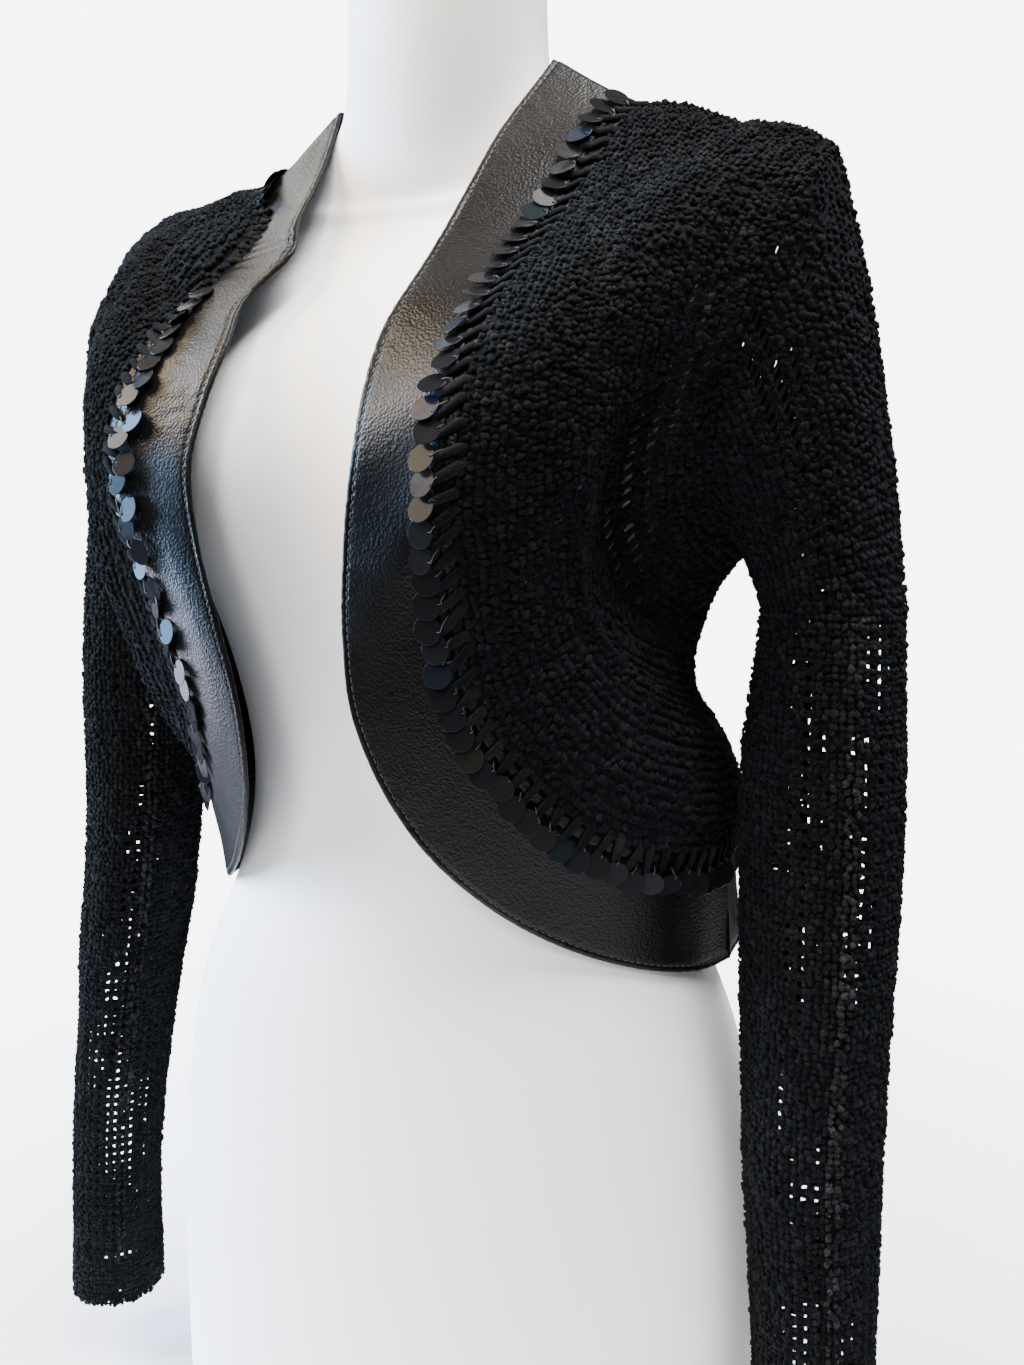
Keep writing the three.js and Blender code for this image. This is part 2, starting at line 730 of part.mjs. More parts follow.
for (const [name, sheet] of Object.entries(sheets)) {
  addMesh(name, wallGeometry(sheet), name.startsWith('band') ? leatherMaterial() : knitMaterial());
}
addMesh('form', formGeometry(), formMaterial());

// The origin is the middle of the underside of the whole object's box
const box = new THREE.Box3().setFromObject(group);
group.position.set(-(box.min.x + box.max.x) / 2, -(box.min.y + box.max.y) / 2, -box.min.z);

export default group;
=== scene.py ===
# Crochet bolero jacket with a leather band and paillettes, on a limbless torso dress form
# Garment sizes are in millimetres in the part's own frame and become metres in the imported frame
import math
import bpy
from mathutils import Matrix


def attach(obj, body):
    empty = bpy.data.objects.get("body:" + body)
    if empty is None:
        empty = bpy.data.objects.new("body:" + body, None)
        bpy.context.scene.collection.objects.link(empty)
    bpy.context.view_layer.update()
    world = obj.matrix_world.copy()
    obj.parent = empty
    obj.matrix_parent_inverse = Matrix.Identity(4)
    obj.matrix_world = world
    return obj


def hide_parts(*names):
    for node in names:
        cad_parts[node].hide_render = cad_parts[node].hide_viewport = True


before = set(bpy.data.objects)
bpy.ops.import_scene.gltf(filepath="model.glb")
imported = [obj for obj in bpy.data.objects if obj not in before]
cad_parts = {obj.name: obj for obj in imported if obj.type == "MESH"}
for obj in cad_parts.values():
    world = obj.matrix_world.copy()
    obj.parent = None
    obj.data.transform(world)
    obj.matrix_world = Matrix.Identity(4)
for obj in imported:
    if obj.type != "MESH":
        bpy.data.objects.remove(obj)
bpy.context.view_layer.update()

from types import SimpleNamespace as Sizes

import bpy
import numpy as np
from mathutils import Matrix

MM = 0.001
TO_FRAME = np.array([-0.0019, -1.7636, 0.0])

# Outline tables of the cut, the same as in the part's source
# columns: x, y, z
BAND_INNER = [
    [104, 1, 719], [97, -15, 707], [91, -30, 683], [88, -46, 663], [86, -66, 644], [84, -100, 611],
    [85, -117, 586], [86, -123, 560], [84, -122, 536], [81, -113, 508], [78, -106, 476],
    [79, -98, 453], [87, -87, 432], [100, -71, 411], [118, -52, 397], [133, -29, 390],
    [140, -5, 387], [141, 18, 386],
]
BAND_OUTER = [
    [60, 5, 746], [49, -23, 709], [46, -42, 683], [44, -69, 649], [40, -99, 612], [41, -114, 583],
    [42, -122, 556], [38, -122, 521], [33, -120, 489], [31, -117, 456], [38, -109, 423],
    [51, -98, 397], [71, -80, 373], [94, -60, 355], [119, -35, 342], [139, -7, 335], [146, 20, 334],
]
SHOULDER_SEAM = [[104, 1, 719], [124, 2, 717], [150, 4, 707], [176, 6, 702], [192, 7, 692]]
SIDE_SEAM = [
    [141, 18, 386], [144, 17, 398], [146, 16, 415], [141, 15, 436], [130, 14, 456], [130, 13, 470],
    [139, 11, 494], [149, 10, 512], [163, 8, 528],
]
NECK_INNER = [[104, 1, 719], [95, 35, 715], [66, 68, 710], [33, 83, 705], [0, 87, 704]]
NECK_OUTER = [[60, 5, 746], [54, 34, 750], [38, 54, 755], [20, 63, 758], [0, 66, 759]]
HEM_INNER = [[141, 18, 386], [132, 58, 385], [95, 91, 384], [48, 105, 383], [0, 108, 383]]
HEM_OUTER = [[146, 20, 334], [137, 62, 333], [99, 97, 332], [51, 112, 332], [0, 116, 332]]
# columns: x, y in front, y at the back, z
ARMHOLE = [
    [192, 7, 7, 692], [188, -22, 30, 671], [176, -36, 48, 630], [163, -38, 54, 588],
    [157, -24, 40, 550], [163, 8, 8, 528],
]
ARMHOLE_FRONT = [[x, y, z] for x, y, _, z in ARMHOLE]
ARMHOLE_BACK = [[x, y, z] for x, _, y, z in ARMHOLE]
# columns: z, y of the middle of the back
BACK_MIDDLE = [[704, 87], [672, 97], [624, 104], [565, 105], [500, 100], [440, 101], [383, 108]]
BACK_ROUNDING = Sizes(square=2.4, corner=0.72, yoke_reach=0.5, yoke_turn=3.6, hem_reach=0.5)
# columns: z, centre x, centre y, half width across, half width front to back
SLEEVE = [
    [506, 202, 2, 30, 33], [478, 202, 1, 32, 34], [440, 203, 0, 34, 34], [392, 205, 0, 34, 34],
    [320, 208, -4, 32, 33], [274, 211, -8, 30.5, 32], [226, 215, -9, 28.5, 30],
    [176, 218, -11, 27, 28], [110, 221, -12, 26, 27], [60, 222, -12, 26.5, 27.5],
    [28, 222, -13, 27, 28],
]
CAP_ROUNDNESS = 0.62
RIGHT_ELBOW = Sizes(z=345, half=110, inward=7)
RIGHT_FOLDS_TURN = 37
FOLDS_SHIFT = 9
CUFF_TOP = 74
CUFF_BOTTOM = 43
SCALLOPS = 36
SCALLOP_HEIGHT = 2.2
# columns: z, angle from the outside towards the front, depth, half length, half width, slant
SLEEVE_FOLDS = [
    [585, 62, -3.5, 46, 22, 8], [560, 118, 3, 40, 24, 10], [468, 150, -3, 34, 26, 16],
    [430, 34, 2.2, 60, 22, 6], [398, 96, -2.6, 44, 24, -14], [372, 205, -2.8, 40, 26, 12],
    [338, 60, 2.4, 36, 26, 18], [296, 140, -2.4, 40, 26, -12], [250, 20, -1.8, 44, 22, 8],
    [208, 100, 2, 40, 26, 14], [150, 170, -1.8, 44, 26, -8],
]
# columns: u and v where the fold starts, u and v where it ends, height, half width
FRONT_FOLDS = [
    [0.52, 0.46, 0.46, 1.0, 8, 0.13], [0.74, 0.5, 0.62, 1.0, -9, 0.1],
    [0.9, 0.16, 0.82, 0.5, -4, 0.1], [0.6, 0.12, 0.55, 0.4, 3, 0.14],
]
# The far front also swells low down, beside its band
RIGHT_SWELL = [[0.30, 0.50, 0.30, 0.98, 15, 0.17]]
BACK_FOLDS = [
    [0.1, 0.34, 0.3, 1.0, 5, 0.07], [0.24, 0.3, 0.42, 0.95, -4, 0.06],
    [0.93, 0.36, 0.74, 1.0, 5, 0.07], [0.8, 0.3, 0.6, 0.9, -4, 0.06],
    [0.52, 0.5, 0.5, 1.0, 3, 0.06],
]
SEAM_RAMP = 6
FOLD_ENDS = Sizes(rate=3, before=0.4, after=0.6)
FULLNESS = {1: 13, -1: 19}
COLLAR_FOLD = Sizes(v=0.145, half_across=0.45, half_along=0.125, lift=16, overhang=24, reach=1.15,
                   roll=9, root=0.42, ramp=4.5, hollow=5, hollow_at=0.92, hollow_width=0.22,
                   hollow_ramp=8, shoulder=0.01, shoulder_ramp=20, cover=0.75)
# columns: height, half length, shift towards the opening
BAND_KINKS = [[657, 13, 10], [629, 12, -4]]
SWAY = Sizes(hips=16, top=540, bottom=390)
SAG = Sizes(x=-100, half=48, drop=12, bottom=655, top=700)

# Dress form
# columns: z, half width, depth in front, depth behind, centre y
FORM_TORSO = [
    [0, 166, 98, 112, 8], [90, 169, 100, 116, 8], [170, 171, 100, 119, 8], [250, 162, 97, 116, 8],
    [304, 149, 92, 108, 7], [345, 127, 84, 97, 6], [380, 117, 79, 88, 6], [420, 114, 78, 80, 5],
    [460, 118, 82, 77, 4], [500, 124, 88, 78, 3], [535, 129, 92, 78, 3], [565, 135, 92, 80, 3],
    [595, 138, 84, 80, 3], [620, 142, 73, 76, 4], [640, 149, 62, 66, 5],
]
# columns: half width, depth in front, behind, centre y, height at the side, in front, behind
FORM_SHOULDER = [
    [154, 46, 46, 6, 662, 654, 652], [159, 36, 34, 6, 677, 666, 660],
    [153, 30, 28, 6, 687, 673, 665], [144, 27, 25, 5, 694, 677, 669],
    [121, 25, 25, 3, 698, 682, 674], [103, 23, 27, 4, 700, 685, 679],
    [80, 25, 34, 6, 710, 689, 691], [66, 29, 41, 8, 722, 695, 708],
    [55, 32, 43, 9, 735, 706, 726], [51, 38, 43, 9, 757, 734, 750], [49, 41, 44, 8, 792, 784, 790],
]
NECK_STUB_TOP = 832
FORM_SMOOTHING = 8
BUST = Sizes(x=72, z=562, rise=30, half_width=42, half_height=52)

# Camera, as fitted to the photograph
# angles: turn round the object, yaw, pitch and roll
CAMERA = Sizes(distance=575.81, height=539.2, angles=(33.07, -4.4, -8.32, 1.52))
FOCAL_PIXELS = 1130.18
IMAGE_HEIGHT = 1365
SENSOR = 36.0


# Helpers

def clamp(t):
    return np.clip(t, 0.0, 1.0)


def ease(t):
    """Smooth step from 0 to 1."""
    t = clamp(t)
    return t * t * (3 - 2 * t)


def bell(distance, half):
    return np.exp(-((distance / half) ** 2))


def both_halves(rows):
    return rows + [[-x, y, z] for x, y, z in rows[-2::-1]]


def unit(vectors):
    length = np.linalg.norm(vectors, axis=-1, keepdims=True)
    return vectors / np.maximum(length, 1e-12)


def sides_of(ahead, normal):
    """Directions aside and up from one that goes ahead."""
    aside = unit(np.cross(ahead, normal))
    return aside, np.cross(aside, ahead)


def turns(cells):
    return 2 * math.pi * np.arange(cells) / cells


def running_length(points):
    steps = np.linalg.norm(np.diff(points, axis=0), axis=-1)
    return np.concatenate([[0.0], np.cumsum(steps)])


def points_along(rows, cells, sign=1, arc_steps=400):
    """Evenly spaced points on a centripetal spline through the rows, or their mirror image."""
    knots = np.array(rows, float) * [sign, 1, 1]
    padded = np.vstack([2 * knots[0] - knots[1], knots, 2 * knots[-1] - knots[-2]])

    def at(t):
        place = t * (len(knots) - 1)
        i = np.minimum(place.astype(int), len(knots) - 2)
        w = (place - i)[:, None]
        a, b, c, d = (padded[i + k] for k in range(4))
        ab, bc, cd = (np.sqrt(np.linalg.norm(q - p, axis=1))[:, None]
                      for p, q in ((a, b), (b, c), (c, d)))
        leave = ((b - a) / ab - (c - a) / (ab + bc) + (c - b) / bc) * bc
        arrive = ((c - b) / bc - (d - b) / (bc + cd) + (d - c) / cd) * bc
        square = -3 * b + 3 * c - 2 * leave - arrive
        cube = 2 * b - 2 * c + leave + arrive
        return b + leave * w + square * w ** 2 + cube * w ** 3

    t = np.linspace(0, 1, arc_steps + 1)
    length = running_length(at(t))
    return at(np.interp(np.linspace(0, 1, cells + 1), length / length[-1], t))


def table_at(rows, key):
    """Row of a table at a key in its first column, each column a smooth curve."""
    rows = np.array(rows, float)
    reached = (rows[:, 0] - key) * (rows[1, 0] - rows[0, 0]) <= 0
    k = int(np.clip(reached.sum() - 1, 0, len(rows) - 2))
    before, a, b, after = (rows[np.clip(k + step, 0, len(rows) - 1)] for step in (-1, 0, 1, 2))
    span = b[0] - a[0]
    t = clamp((key - a[0]) / span)
    leaving = (b - before) / (b[0] - before[0]) * span
    arriving = (after - a) / (after[0] - a[0]) * span
    rise = ease(t)
    return a * (1 - rise) + b * rise + leaving * t * (1 - t) ** 2 - arriving * t * t * (1 - t)


def sway(z):
    return SWAY.hips * ease((SWAY.top - z) / (SWAY.top - SWAY.bottom))


def place_on_body(points, swayed=True):
    p = np.array(points, float)
    share = ease((p[..., 2] - SAG.bottom) / (SAG.top - SAG.bottom))
    sag = SAG.drop * bell(p[..., 0] - SAG.x, SAG.half) * share
    if swayed:
        p[..., 0] += sway(p[..., 2])
    p[..., 2] -= sag
    return p + TO_FRAME


def ripple(seed, *coordinates, waves=6):
    """Smooth noise from about -1 to 1; each coordinate is already divided by its wavelength."""
    rng = np.random.default_rng(seed)
    total = 0.0
    for _ in range(waves):
        turn = rng.normal(0, 1, len(coordinates))
        phase = rng.uniform(0, 2 * math.pi)
        wave = sum(2 * math.pi * k * c for k, c in zip(turn, coordinates))
        total = total + np.sin(wave + phase)
    return total / math.sqrt(waves)


class Cloth:
    """Grid of points on the outer side of a piece: a runs along its rows, b across them."""

    def __init__(self, points, closed=False, outward=1):
        self.points, self.closed, self.outward = points, closed, outward
        along = np.gradient(points, axis=0)
        if closed:
            along = np.roll(points, -1, 0) - np.roll(points, 1, 0)
        self.normals = unit(np.cross(along, np.gradient(points, axis=1))) * outward

    def at(self, a, b, lift=0.0):
        """Points at a and b, moved out by lift, with the normals there."""
        a, b, lift = np.broadcast_arrays(np.asarray(a, float), b, lift)
        columns, rows = self.points.shape[:2]
        x = np.mod(a, 1.0) * columns if self.closed else clamp(a) * (columns - 1)
        y = clamp(b) * (rows - 1)
        i = np.minimum(x.astype(int), columns - 1 if self.closed else columns - 2)
        j = np.minimum(y.astype(int), rows - 2)
        k = (i + 1) % columns
        fx, fy = (x - i)[..., None], (y - j)[..., None]

        def mix(grid):
            low = grid[i, j] * (1 - fx) + grid[k, j] * fx
            high = grid[i, j + 1] * (1 - fx) + grid[k, j + 1] * fx
            return low * (1 - fy) + high * fy

        normal = unit(mix(self.normals))
        return mix(self.points) + normal * lift[..., None], normal

    def reach(self, a, distance, from_end=False):
        """Share of b that lies within a distance in mm of the first or the last row."""
        edge, step = (1.0, -0.02) if from_end else (0.0, 0.02)
        speed = np.linalg.norm(self.at(a, edge + step)[0] - self.at(a, edge)[0], axis=-1) / 0.02
        return distance / speed

    def trimmed(self, start, end):
        """The same cloth without a margin at its first and last rows, given for each column."""
        columns, rows = self.points.shape[:2]
        a = np.arange(columns) / (columns if self.closed else columns - 1)
        share = np.linspace(0, 1, rows)
        b = start[:, None] * (1 - share) + (1 - end[:, None]) * share
        return Cloth(self.at(a[:, None], b)[0], self.closed, self.outward)

    def columns(self):
        return np.linspace(0, 1, len(self.points))

    def marks(self, b, pitch, stagger=0.0, count=None):
        """Places a of the borders between stitches, evenly spaced along the row at b."""
        a = np.linspace(0, 1, 200)
        length = running_length(self.at(a, b)[0])
        n = count or max(3, round(length[-1] / pitch))
        if self.closed:
            k = np.arange(n + 1) + stagger
            whole = np.floor(k / n)
            return np.interp((k / n - whole) * length[-1], length, a) + whole
        k = np.arange(n + 1) - stagger
        if stagger:
            k = np.concatenate([[0], k[k > 0], [n]])
        return np.interp(k / n * length[-1], length, a)


# Panels, as in the part's source but finer

def fold_height(folds, u, v):
    """Height of a panel's folds, which fade out at its seams."""
    height = 0.0
    for u0, v0, u1, v1, rise, half in folds:
        length = math.hypot(u1 - u0, v1 - v0)
        along = ((u - u0) * (u1 - u0) + (v - v0) * (v1 - v0)) / length ** 2
        aside = ((u - u0) * (v1 - v0) - (v - v0) * (u1 - u0)) / length
        rising = ease(along * FOLD_ENDS.rate + FOLD_ENDS.before)
        falling = ease((1 - along) * FOLD_ENDS.rate + FOLD_ENDS.after)
        height = height + rise * bell(aside, half) * rising * falling
    fades = [clamp(SEAM_RAMP * t) for t in (u, 1 - u, v, 1 - v)]
    return height * np.minimum.reduce(fades)


def grid_normals(grid):
    return unit(np.cross(np.gradient(grid, axis=0), np.gradient(grid, axis=1)))


def front_cloth(sign, across=60, along=144):
    start, end = (points_along(rows, across, sign) for rows in (SHOULDER_SEAM, SIDE_SEAM))
    near, far = (points_along(rows, along, sign) for rows in (BAND_INNER, ARMHOLE_FRONT))
    u, v = np.meshgrid(np.linspace(0, 1, across + 1), np.linspace(0, 1, along + 1), indexing="ij")
    U, V = u[..., None], v[..., None]
    ruled = start[:, None] * (1 - V) + end[:, None] * V
    grid = ruled + (near - ruled[0]) * (1 - U) + (far - ruled[-1]) * U
    full = FULLNESS[sign] * np.sin(np.pi * u) * np.sin(np.pi * v)
    folds = fold_height(FRONT_FOLDS + (RIGHT_SWELL if sign < 0 else []), u, v)
    grid = grid + grid_normals(grid) * -sign * (full + folds)[..., None]
    if sign < 0:
        outward = grid_normals(grid) * -sign
        c = COLLAR_FOLD
        towards = unit(grid[0] - grid[5])
        reach = np.hypot((v - c.v) / c.half_along, u / c.half_across)
        height = c.lift * ease(1 - reach)
        height = height * (c.root + (1 - c.root) * ease(u * c.roll))
        hollow = bell(reach - c.hollow_at, c.hollow_width) * clamp(u * c.hollow_ramp)
        height = height - c.hollow * hollow * clamp((v - c.shoulder) * c.shoulder_ramp)
        over = c.overhang * ease(c.reach - np.abs(v - c.v) / c.half_along)
        over = over * clamp(1 - u * c.ramp)
        grid = grid + outward * height[..., None] + towards[None] * over[..., None]
    return Cloth(place_on_body(grid.transpose(1, 0, 2)), outward=sign)


def back_cloth():
    r = BACK_ROUNDING
    left, right = (points_along(SHOULDER_SEAM, 24, sign) for sign in (1, -1))
    neck = points_along(both_halves(NECK_INNER), 32)
    top = np.vstack([left[::-1], neck[1:], right[1:]])
    hem = points_along(both_halves(HEM_INNER), len(top) - 1)
    armhole = points_along(ARMHOLE_BACK, 60)
    edge = np.vstack([armhole, points_along(SIDE_SEAM, 60)[::-1][1:]])
    side = top[:, 0] / top[0, 0]
    rounded = ((1 - np.minimum(1, np.abs(side)) ** r.square) ** r.corner)[:, None]
    v = np.linspace(0, 1, len(edge))[None]
    middle = BACK_MIDDLE[0][0] + (BACK_MIDDLE[-1][0] - BACK_MIDDLE[0][0]) * v
    behind = np.array([table_at(BACK_MIDDLE, z)[1] for z in middle[0]])
    x, y, z = edge.T
    section = np.stack([side[:, None] * x, y + (behind - y) * rounded,
                        z + (middle - z) * rounded], axis=-1)
    of_top = (clamp(1 - v / r.yoke_reach) ** r.yoke_turn)[..., None]
    of_hem = ease(1 - (1 - v) / r.hem_reach)[..., None]
    grid = section + (top - section[:, 0])[:, None] * of_top
    grid = grid + (hem - section[:, -1])[:, None] * of_hem
    u, v = np.broadcast_arrays(np.linspace(0, 1, len(top))[:, None], v)
    grid = grid - grid_normals(grid) * fold_height(BACK_FOLDS, u, v)[..., None]
    return Cloth(place_on_body(grid), outward=-1)


def sleeve_ring(z, cells, sign, folded=True):
    _, cx, cy, half_across, half_deep = table_at(SLEEVE, z)
    bend = (sign < 0) * RIGHT_ELBOW.inward * bell(z - RIGHT_ELBOW.z, RIGHT_ELBOW.half)
    degrees = 360 * np.arange(cells) / cells
    fold = np.zeros(cells)
    for height, direction, rise, half_length, half_width, slant in SLEEVE_FOLDS if folded else []:
        turn = (sign < 0) * RIGHT_FOLDS_TURN
        along = (z - height - sign * FOLDS_SHIFT) / half_length
        aside = np.mod(degrees - direction - turn - slant * along + 540, 360) - 180
        fold += rise * bell(along, 1) * bell(aside, half_width)
    angle = np.radians(degrees)
    x = cx - bend + (half_across + fold) * np.cos(angle)
    y = cy - (half_deep + fold) * np.sin(angle)
    return np.stack([sign * x, y, np.full(cells, float(z))], axis=-1)


def sleeve_cloth(sign, cap_rows=36, tube_rows=110, half_cells=48):
    in_front = points_along(ARMHOLE_FRONT, half_cells, sign)
    behind = points_along(ARMHOLE_BACK, half_cells, sign)
    loop = np.vstack([in_front, behind[::-1][1:-1]])
    end = sleeve_ring(SLEEVE[0][0], len(loop), sign)
    turn = loop + (end - loop) * [CAP_ROUNDNESS, 0.5, 1 - CAP_ROUNDNESS]
    rings = [loop * (1 - t) ** 2 + turn * 2 * t * (1 - t) + end * t * t
             for t in np.arange(cap_rows) / cap_rows]
    rings += [sleeve_ring(z, len(loop), sign)
              for z in np.linspace(SLEEVE[0][0], CUFF_TOP, tube_rows + 1)]
    return Cloth(place_on_body(np.stack(rings, axis=1), False), closed=True, outward=sign)


def cuff_cloth(sign, rows=16, cells=144):
    rings = []
    for k in range(rows + 1):
        z = CUFF_TOP + (CUFF_BOTTOM - CUFF_TOP) * k / rows
        folded = sleeve_ring(z, cells, sign)
        plain = sleeve_ring(z, cells, sign, False)
        share = clamp(1 - 2 * k / rows)
        ring = folded * share + plain * (1 - share)
        wave = np.abs(np.sin(math.pi * SCALLOPS * np.arange(cells) / cells))
        ring[:, 2] += SCALLOP_HEIGHT * (1 - wave) * clamp(2 * k / rows - 1)
        rings.append(ring)
    return Cloth(place_on_body(np.stack(rings, axis=1), False), closed=True, outward=sign)


def band_curves(inner, outer, sign=1, cells=240):
    near, far = (points_along(rows, cells, sign) for rows in (inner, outer))
    if sign < 0:
        for height, half, shift in BAND_KINKS:
            far[:, 0] += shift * bell(far[:, 2] - height, half)
    return near, far


def surface_area(cloth):
    p = cloth.points
    if cloth.closed:
        p = np.concatenate([p, p[:1]])
    cross = np.cross(p[1:, :-1] - p[:-1, :-1], p[:-1, 1:] - p[:-1, :-1])
    return float(np.linalg.norm(cross, axis=-1).sum()) * MM * MM


# Mesh building

class Builder:
    """Collects vertices and triangles of one piece."""

    def __init__(self):
        self.vertices, self.triangles, self.tints, self.count = [], [], [], 0

    def add(self, vertices, triangles, tint=0.5):
        vertices = np.asarray(vertices, float).reshape(-1, 3)
        self.vertices.append(vertices)
        self.triangles.append(np.asarray(triangles, int).reshape(-1, 3) + self.count)
        self.tints.append(np.broadcast_to(tint, len(vertices)))
        self.count += len(vertices)

    def finish(self, name, material, slot, sharp=False):
        mesh = bpy.data.meshes.new(name)
        mesh.from_pydata(np.vstack(self.vertices) * MM, [], np.vstack(self.triangles),
                         shade_flat=sharp)
        mesh.validate()
        tint = mesh.attributes.new("tint", "FLOAT", "POINT")
        tint.data.foreach_set("value", np.concatenate(self.tints).astype(np.float32))
        mesh.materials.append(material)
        piece = bpy.data.objects.new(name, mesh)
        bpy.context.scene.collection.objects.link(piece)
        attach(piece, "root")
        return piece


def quads(a, b, c, d):
    """Two triangles for each quad of corner numbers."""
    return np.concatenate([np.stack([a, b, c], -1).reshape(-1, 3),
                           np.stack([a, c, d], -1).reshape(-1, 3)])


def tube_faces(at):
    """Walls and ends of closed tubes, by corner numbers of the shape (tubes, points, sides)."""
    turned = np.roll(at, -1, axis=2)
    faces = [quads(at[:, :-1], at[:, 1:], turned[:, 1:], turned[:, :-1])]
    for k in range(1, at.shape[2] - 1):
        faces.append(np.stack([at[:, 0, 0], at[:, 0, k], at[:, 0, k + 1]], -1))
        faces.append(np.stack([at[:, -1, 0], at[:, -1, k + 1], at[:, -1, k]], -1))
    return np.concatenate(faces)


def add_tubes(builder, centres, normals, wide, high, sides=4, tint=0.5):
    """Closed tubes, by centres and normals of the shape (tubes, points, 3)."""
    tubes, length = centres.shape[:2]
    wide = np.broadcast_to(wide, (tubes, length))[..., None]
    high = np.broadcast_to(high, (tubes, length))[..., None]
    tangent = unit(np.gradient(centres, axis=1))
    aside, up = sides_of(tangent, normals)
    vertices = np.stack([centres + aside * wide * math.cos(t) + up * high * math.sin(t)
                         for t in turns(sides)], axis=2)
    at = np.arange(tubes * length * sides).reshape(tubes, length, sides)
    builder.add(vertices, tube_faces(at), np.repeat(np.broadcast_to(tint, tubes), length * sides))


def add_shell(builder, outer, inner, outward):
    """Closed sheet between two grids of the same size."""
    columns, rows = outer.shape[:2]
    at = np.arange(2 * columns * rows).reshape(2, columns, rows)
    top, low = at[0], at[1]
    faces = [
        quads(top[:-1, :-1], top[1:, :-1], top[1:, 1:], top[:-1, 1:]),
        quads(low[:-1, :-1], low[:-1, 1:], low[1:, 1:], low[1:, :-1]),
        quads(top[:-1, 0], low[:-1, 0], low[1:, 0], top[1:, 0]),
        quads(top[:-1, -1], top[1:, -1], low[1:, -1], low[:-1, -1]),
        quads(top[0, :-1], top[0, 1:], low[0, 1:], low[0, :-1]),
        quads(top[-1, :-1], low[-1, :-1], low[-1, 1:], top[-1, 1:]),
    ]
    builder.add(np.stack([outer, inner]), np.concatenate(faces)[:, ::outward])


# Crochet: each row of stitches is a thin perforated strip under small tufts of yarn
GROUND_LIFTS = (-0.5, -1.6)
# Each of a hole's four corners lies at its own share of the reach
HOLE_UNEVEN = (0.62, 1.15)
# Each stitch shows four tufts of its yarn
# columns: place along the stitch, place across the row, height
STITCH_TUFTS = np.array([
    [-0.27, 0.25, 0.05], [0.23, 0.22, -0.10], [-0.23, 0.74, -0.10], [0.28, 0.77, 0.10],
])
TUFT_JITTER = np.array([0.07, 0.07, 0.28])
# Half length, half width and half height
TUFT_SIZE = (2.3, 1.45, 1.15)
TUFT_LEAN = 0.45
TUFT_UNEVEN = 0.13
WHOLE_STITCH = 0.75
# How wide a hole opens, and how far it pushes its tufts apart and thins them
OPENING = Sizes(least=0.45, more=0.75, uneven=0.12, limit=1.55, push=0.30, thin=0.30)
# The tufts on a sleeve's raised ridge get a lighter tint: a painted highlight where the fold
# catches light
RIDGE_PAINTED_HIGHLIGHT = 0.6
FUZZ_PER_AREA = 0.062
FUZZ_RADIUS = 0.10


def add_ground_row(builder, cloth, marks, low, high, openness, hole, rng):
    """One perforated strip. openness is 0 where a stitch is closed and 1 where it is widest."""
    n = len(marks) - 1
    ends = np.array([low, high])
    borders = [cloth.at(marks[:, None], ends, lift)[0] for lift in GROUND_LIFTS]
    vertices = [np.stack(borders, axis=1).reshape(-1, 3)]
    corner = np.arange(4 * (n + 1)).reshape(n + 1, 2, 2)
    if cloth.closed:
        corner[-1] = corner[0]
        vertices[0] = vertices[0][: 4 * n]
    top, base = corner[:, 0], corner[:, 1]
    faces = [quads(top[:-1, 0], base[:-1, 0], base[1:, 0], top[1:, 0]),
             quads(top[:-1, 1], top[1:, 1], base[1:, 1], base[:-1, 1])]
    if not cloth.closed:
        faces.append(quads(top[:1, 0], top[:1, 1], base[:1, 1], base[:1, 0]))
        faces.append(quads(top[-1:, 0], base[-1:, 0], base[-1:, 1], top[-1:, 1]))
    shut = openness <= 0
    upper, lower = ((side[:-1, 0], side[1:, 0], side[1:, 1], side[:-1, 1]) for side in (top, base))
    faces.append(quads(*(q[shut] for q in upper)))
    faces.append(quads(*(lower[k][shut] for k in (0, 3, 2, 1))))
    wide = ~shut
    m = int(wide.sum())
    middle = (marks[:-1] + marks[1:])[wide, None] / 2
    half_a = (marks[1:] - marks[:-1])[wide, None] / 2 * hole[0] * openness[wide, None]
    half_b = (high - low) / 2 * hole[1] * openness[wide, None]
    angle = turns(4) + math.pi * 5 / 4
    uneven = rng.uniform(*HOLE_UNEVEN, (m, 4))
    ring_a = middle + half_a * np.cos(angle) * uneven
    ring_b = (low + high) / 2 + half_b * np.sin(angle) * uneven
    rims = [cloth.at(ring_a, ring_b, lift)[0] for lift in GROUND_LIFTS]
    vertices.append(np.stack(rims, axis=1).reshape(-1, 3))
    rim = (len(vertices[0]) + np.arange(8 * m)).reshape(m, 2, 4).transpose(1, 0, 2)
    for layer, corners in enumerate((upper, lower)):
        p = [q[wide] for q in corners]
        r = rim[layer].T
        ring = np.concatenate([quads(p[k - 1], p[k], r[k], r[k - 1]) for k in (1, 2, 3, 0)])
        faces.append(ring if layer == 0 else ring[:, ::-1])
    turned = np.roll(rim, -1, 2)
    faces.append(quads(rim[0], turned[0], turned[1], rim[1]))
    builder.add(np.concatenate(vertices), np.concatenate(faces)[:, ::cloth.outward])


def add_tufts(builder, centre, along, normal, length, wide, high, tint):
    """Small tapered tufts of yarn, four-sided round the middle and pointed at both ends."""
    aside, up = sides_of(along, normal)
    ends = [centre + k * along * length - 0.35 * high * up for k in (-1, 1)]
    middle = [centre + (aside * wide * math.cos(t) + up * high * math.sin(t))
              * math.sqrt(2) * 0.85 for t in turns(4) + math.pi / 4]
    first = np.arange(len(centre))[:, None] * 6
    faces = [first + [0, 1 + k, 1 + (k + 1) % 4] for k in range(4)]
    faces += [first + [5, 1 + (k + 1) % 4, 1 + k] for k in range(4)]
    vertices = np.stack([ends[0], *middle, ends[1]], axis=1)
    builder.add(vertices, np.concatenate(faces), np.repeat(tint, 6))


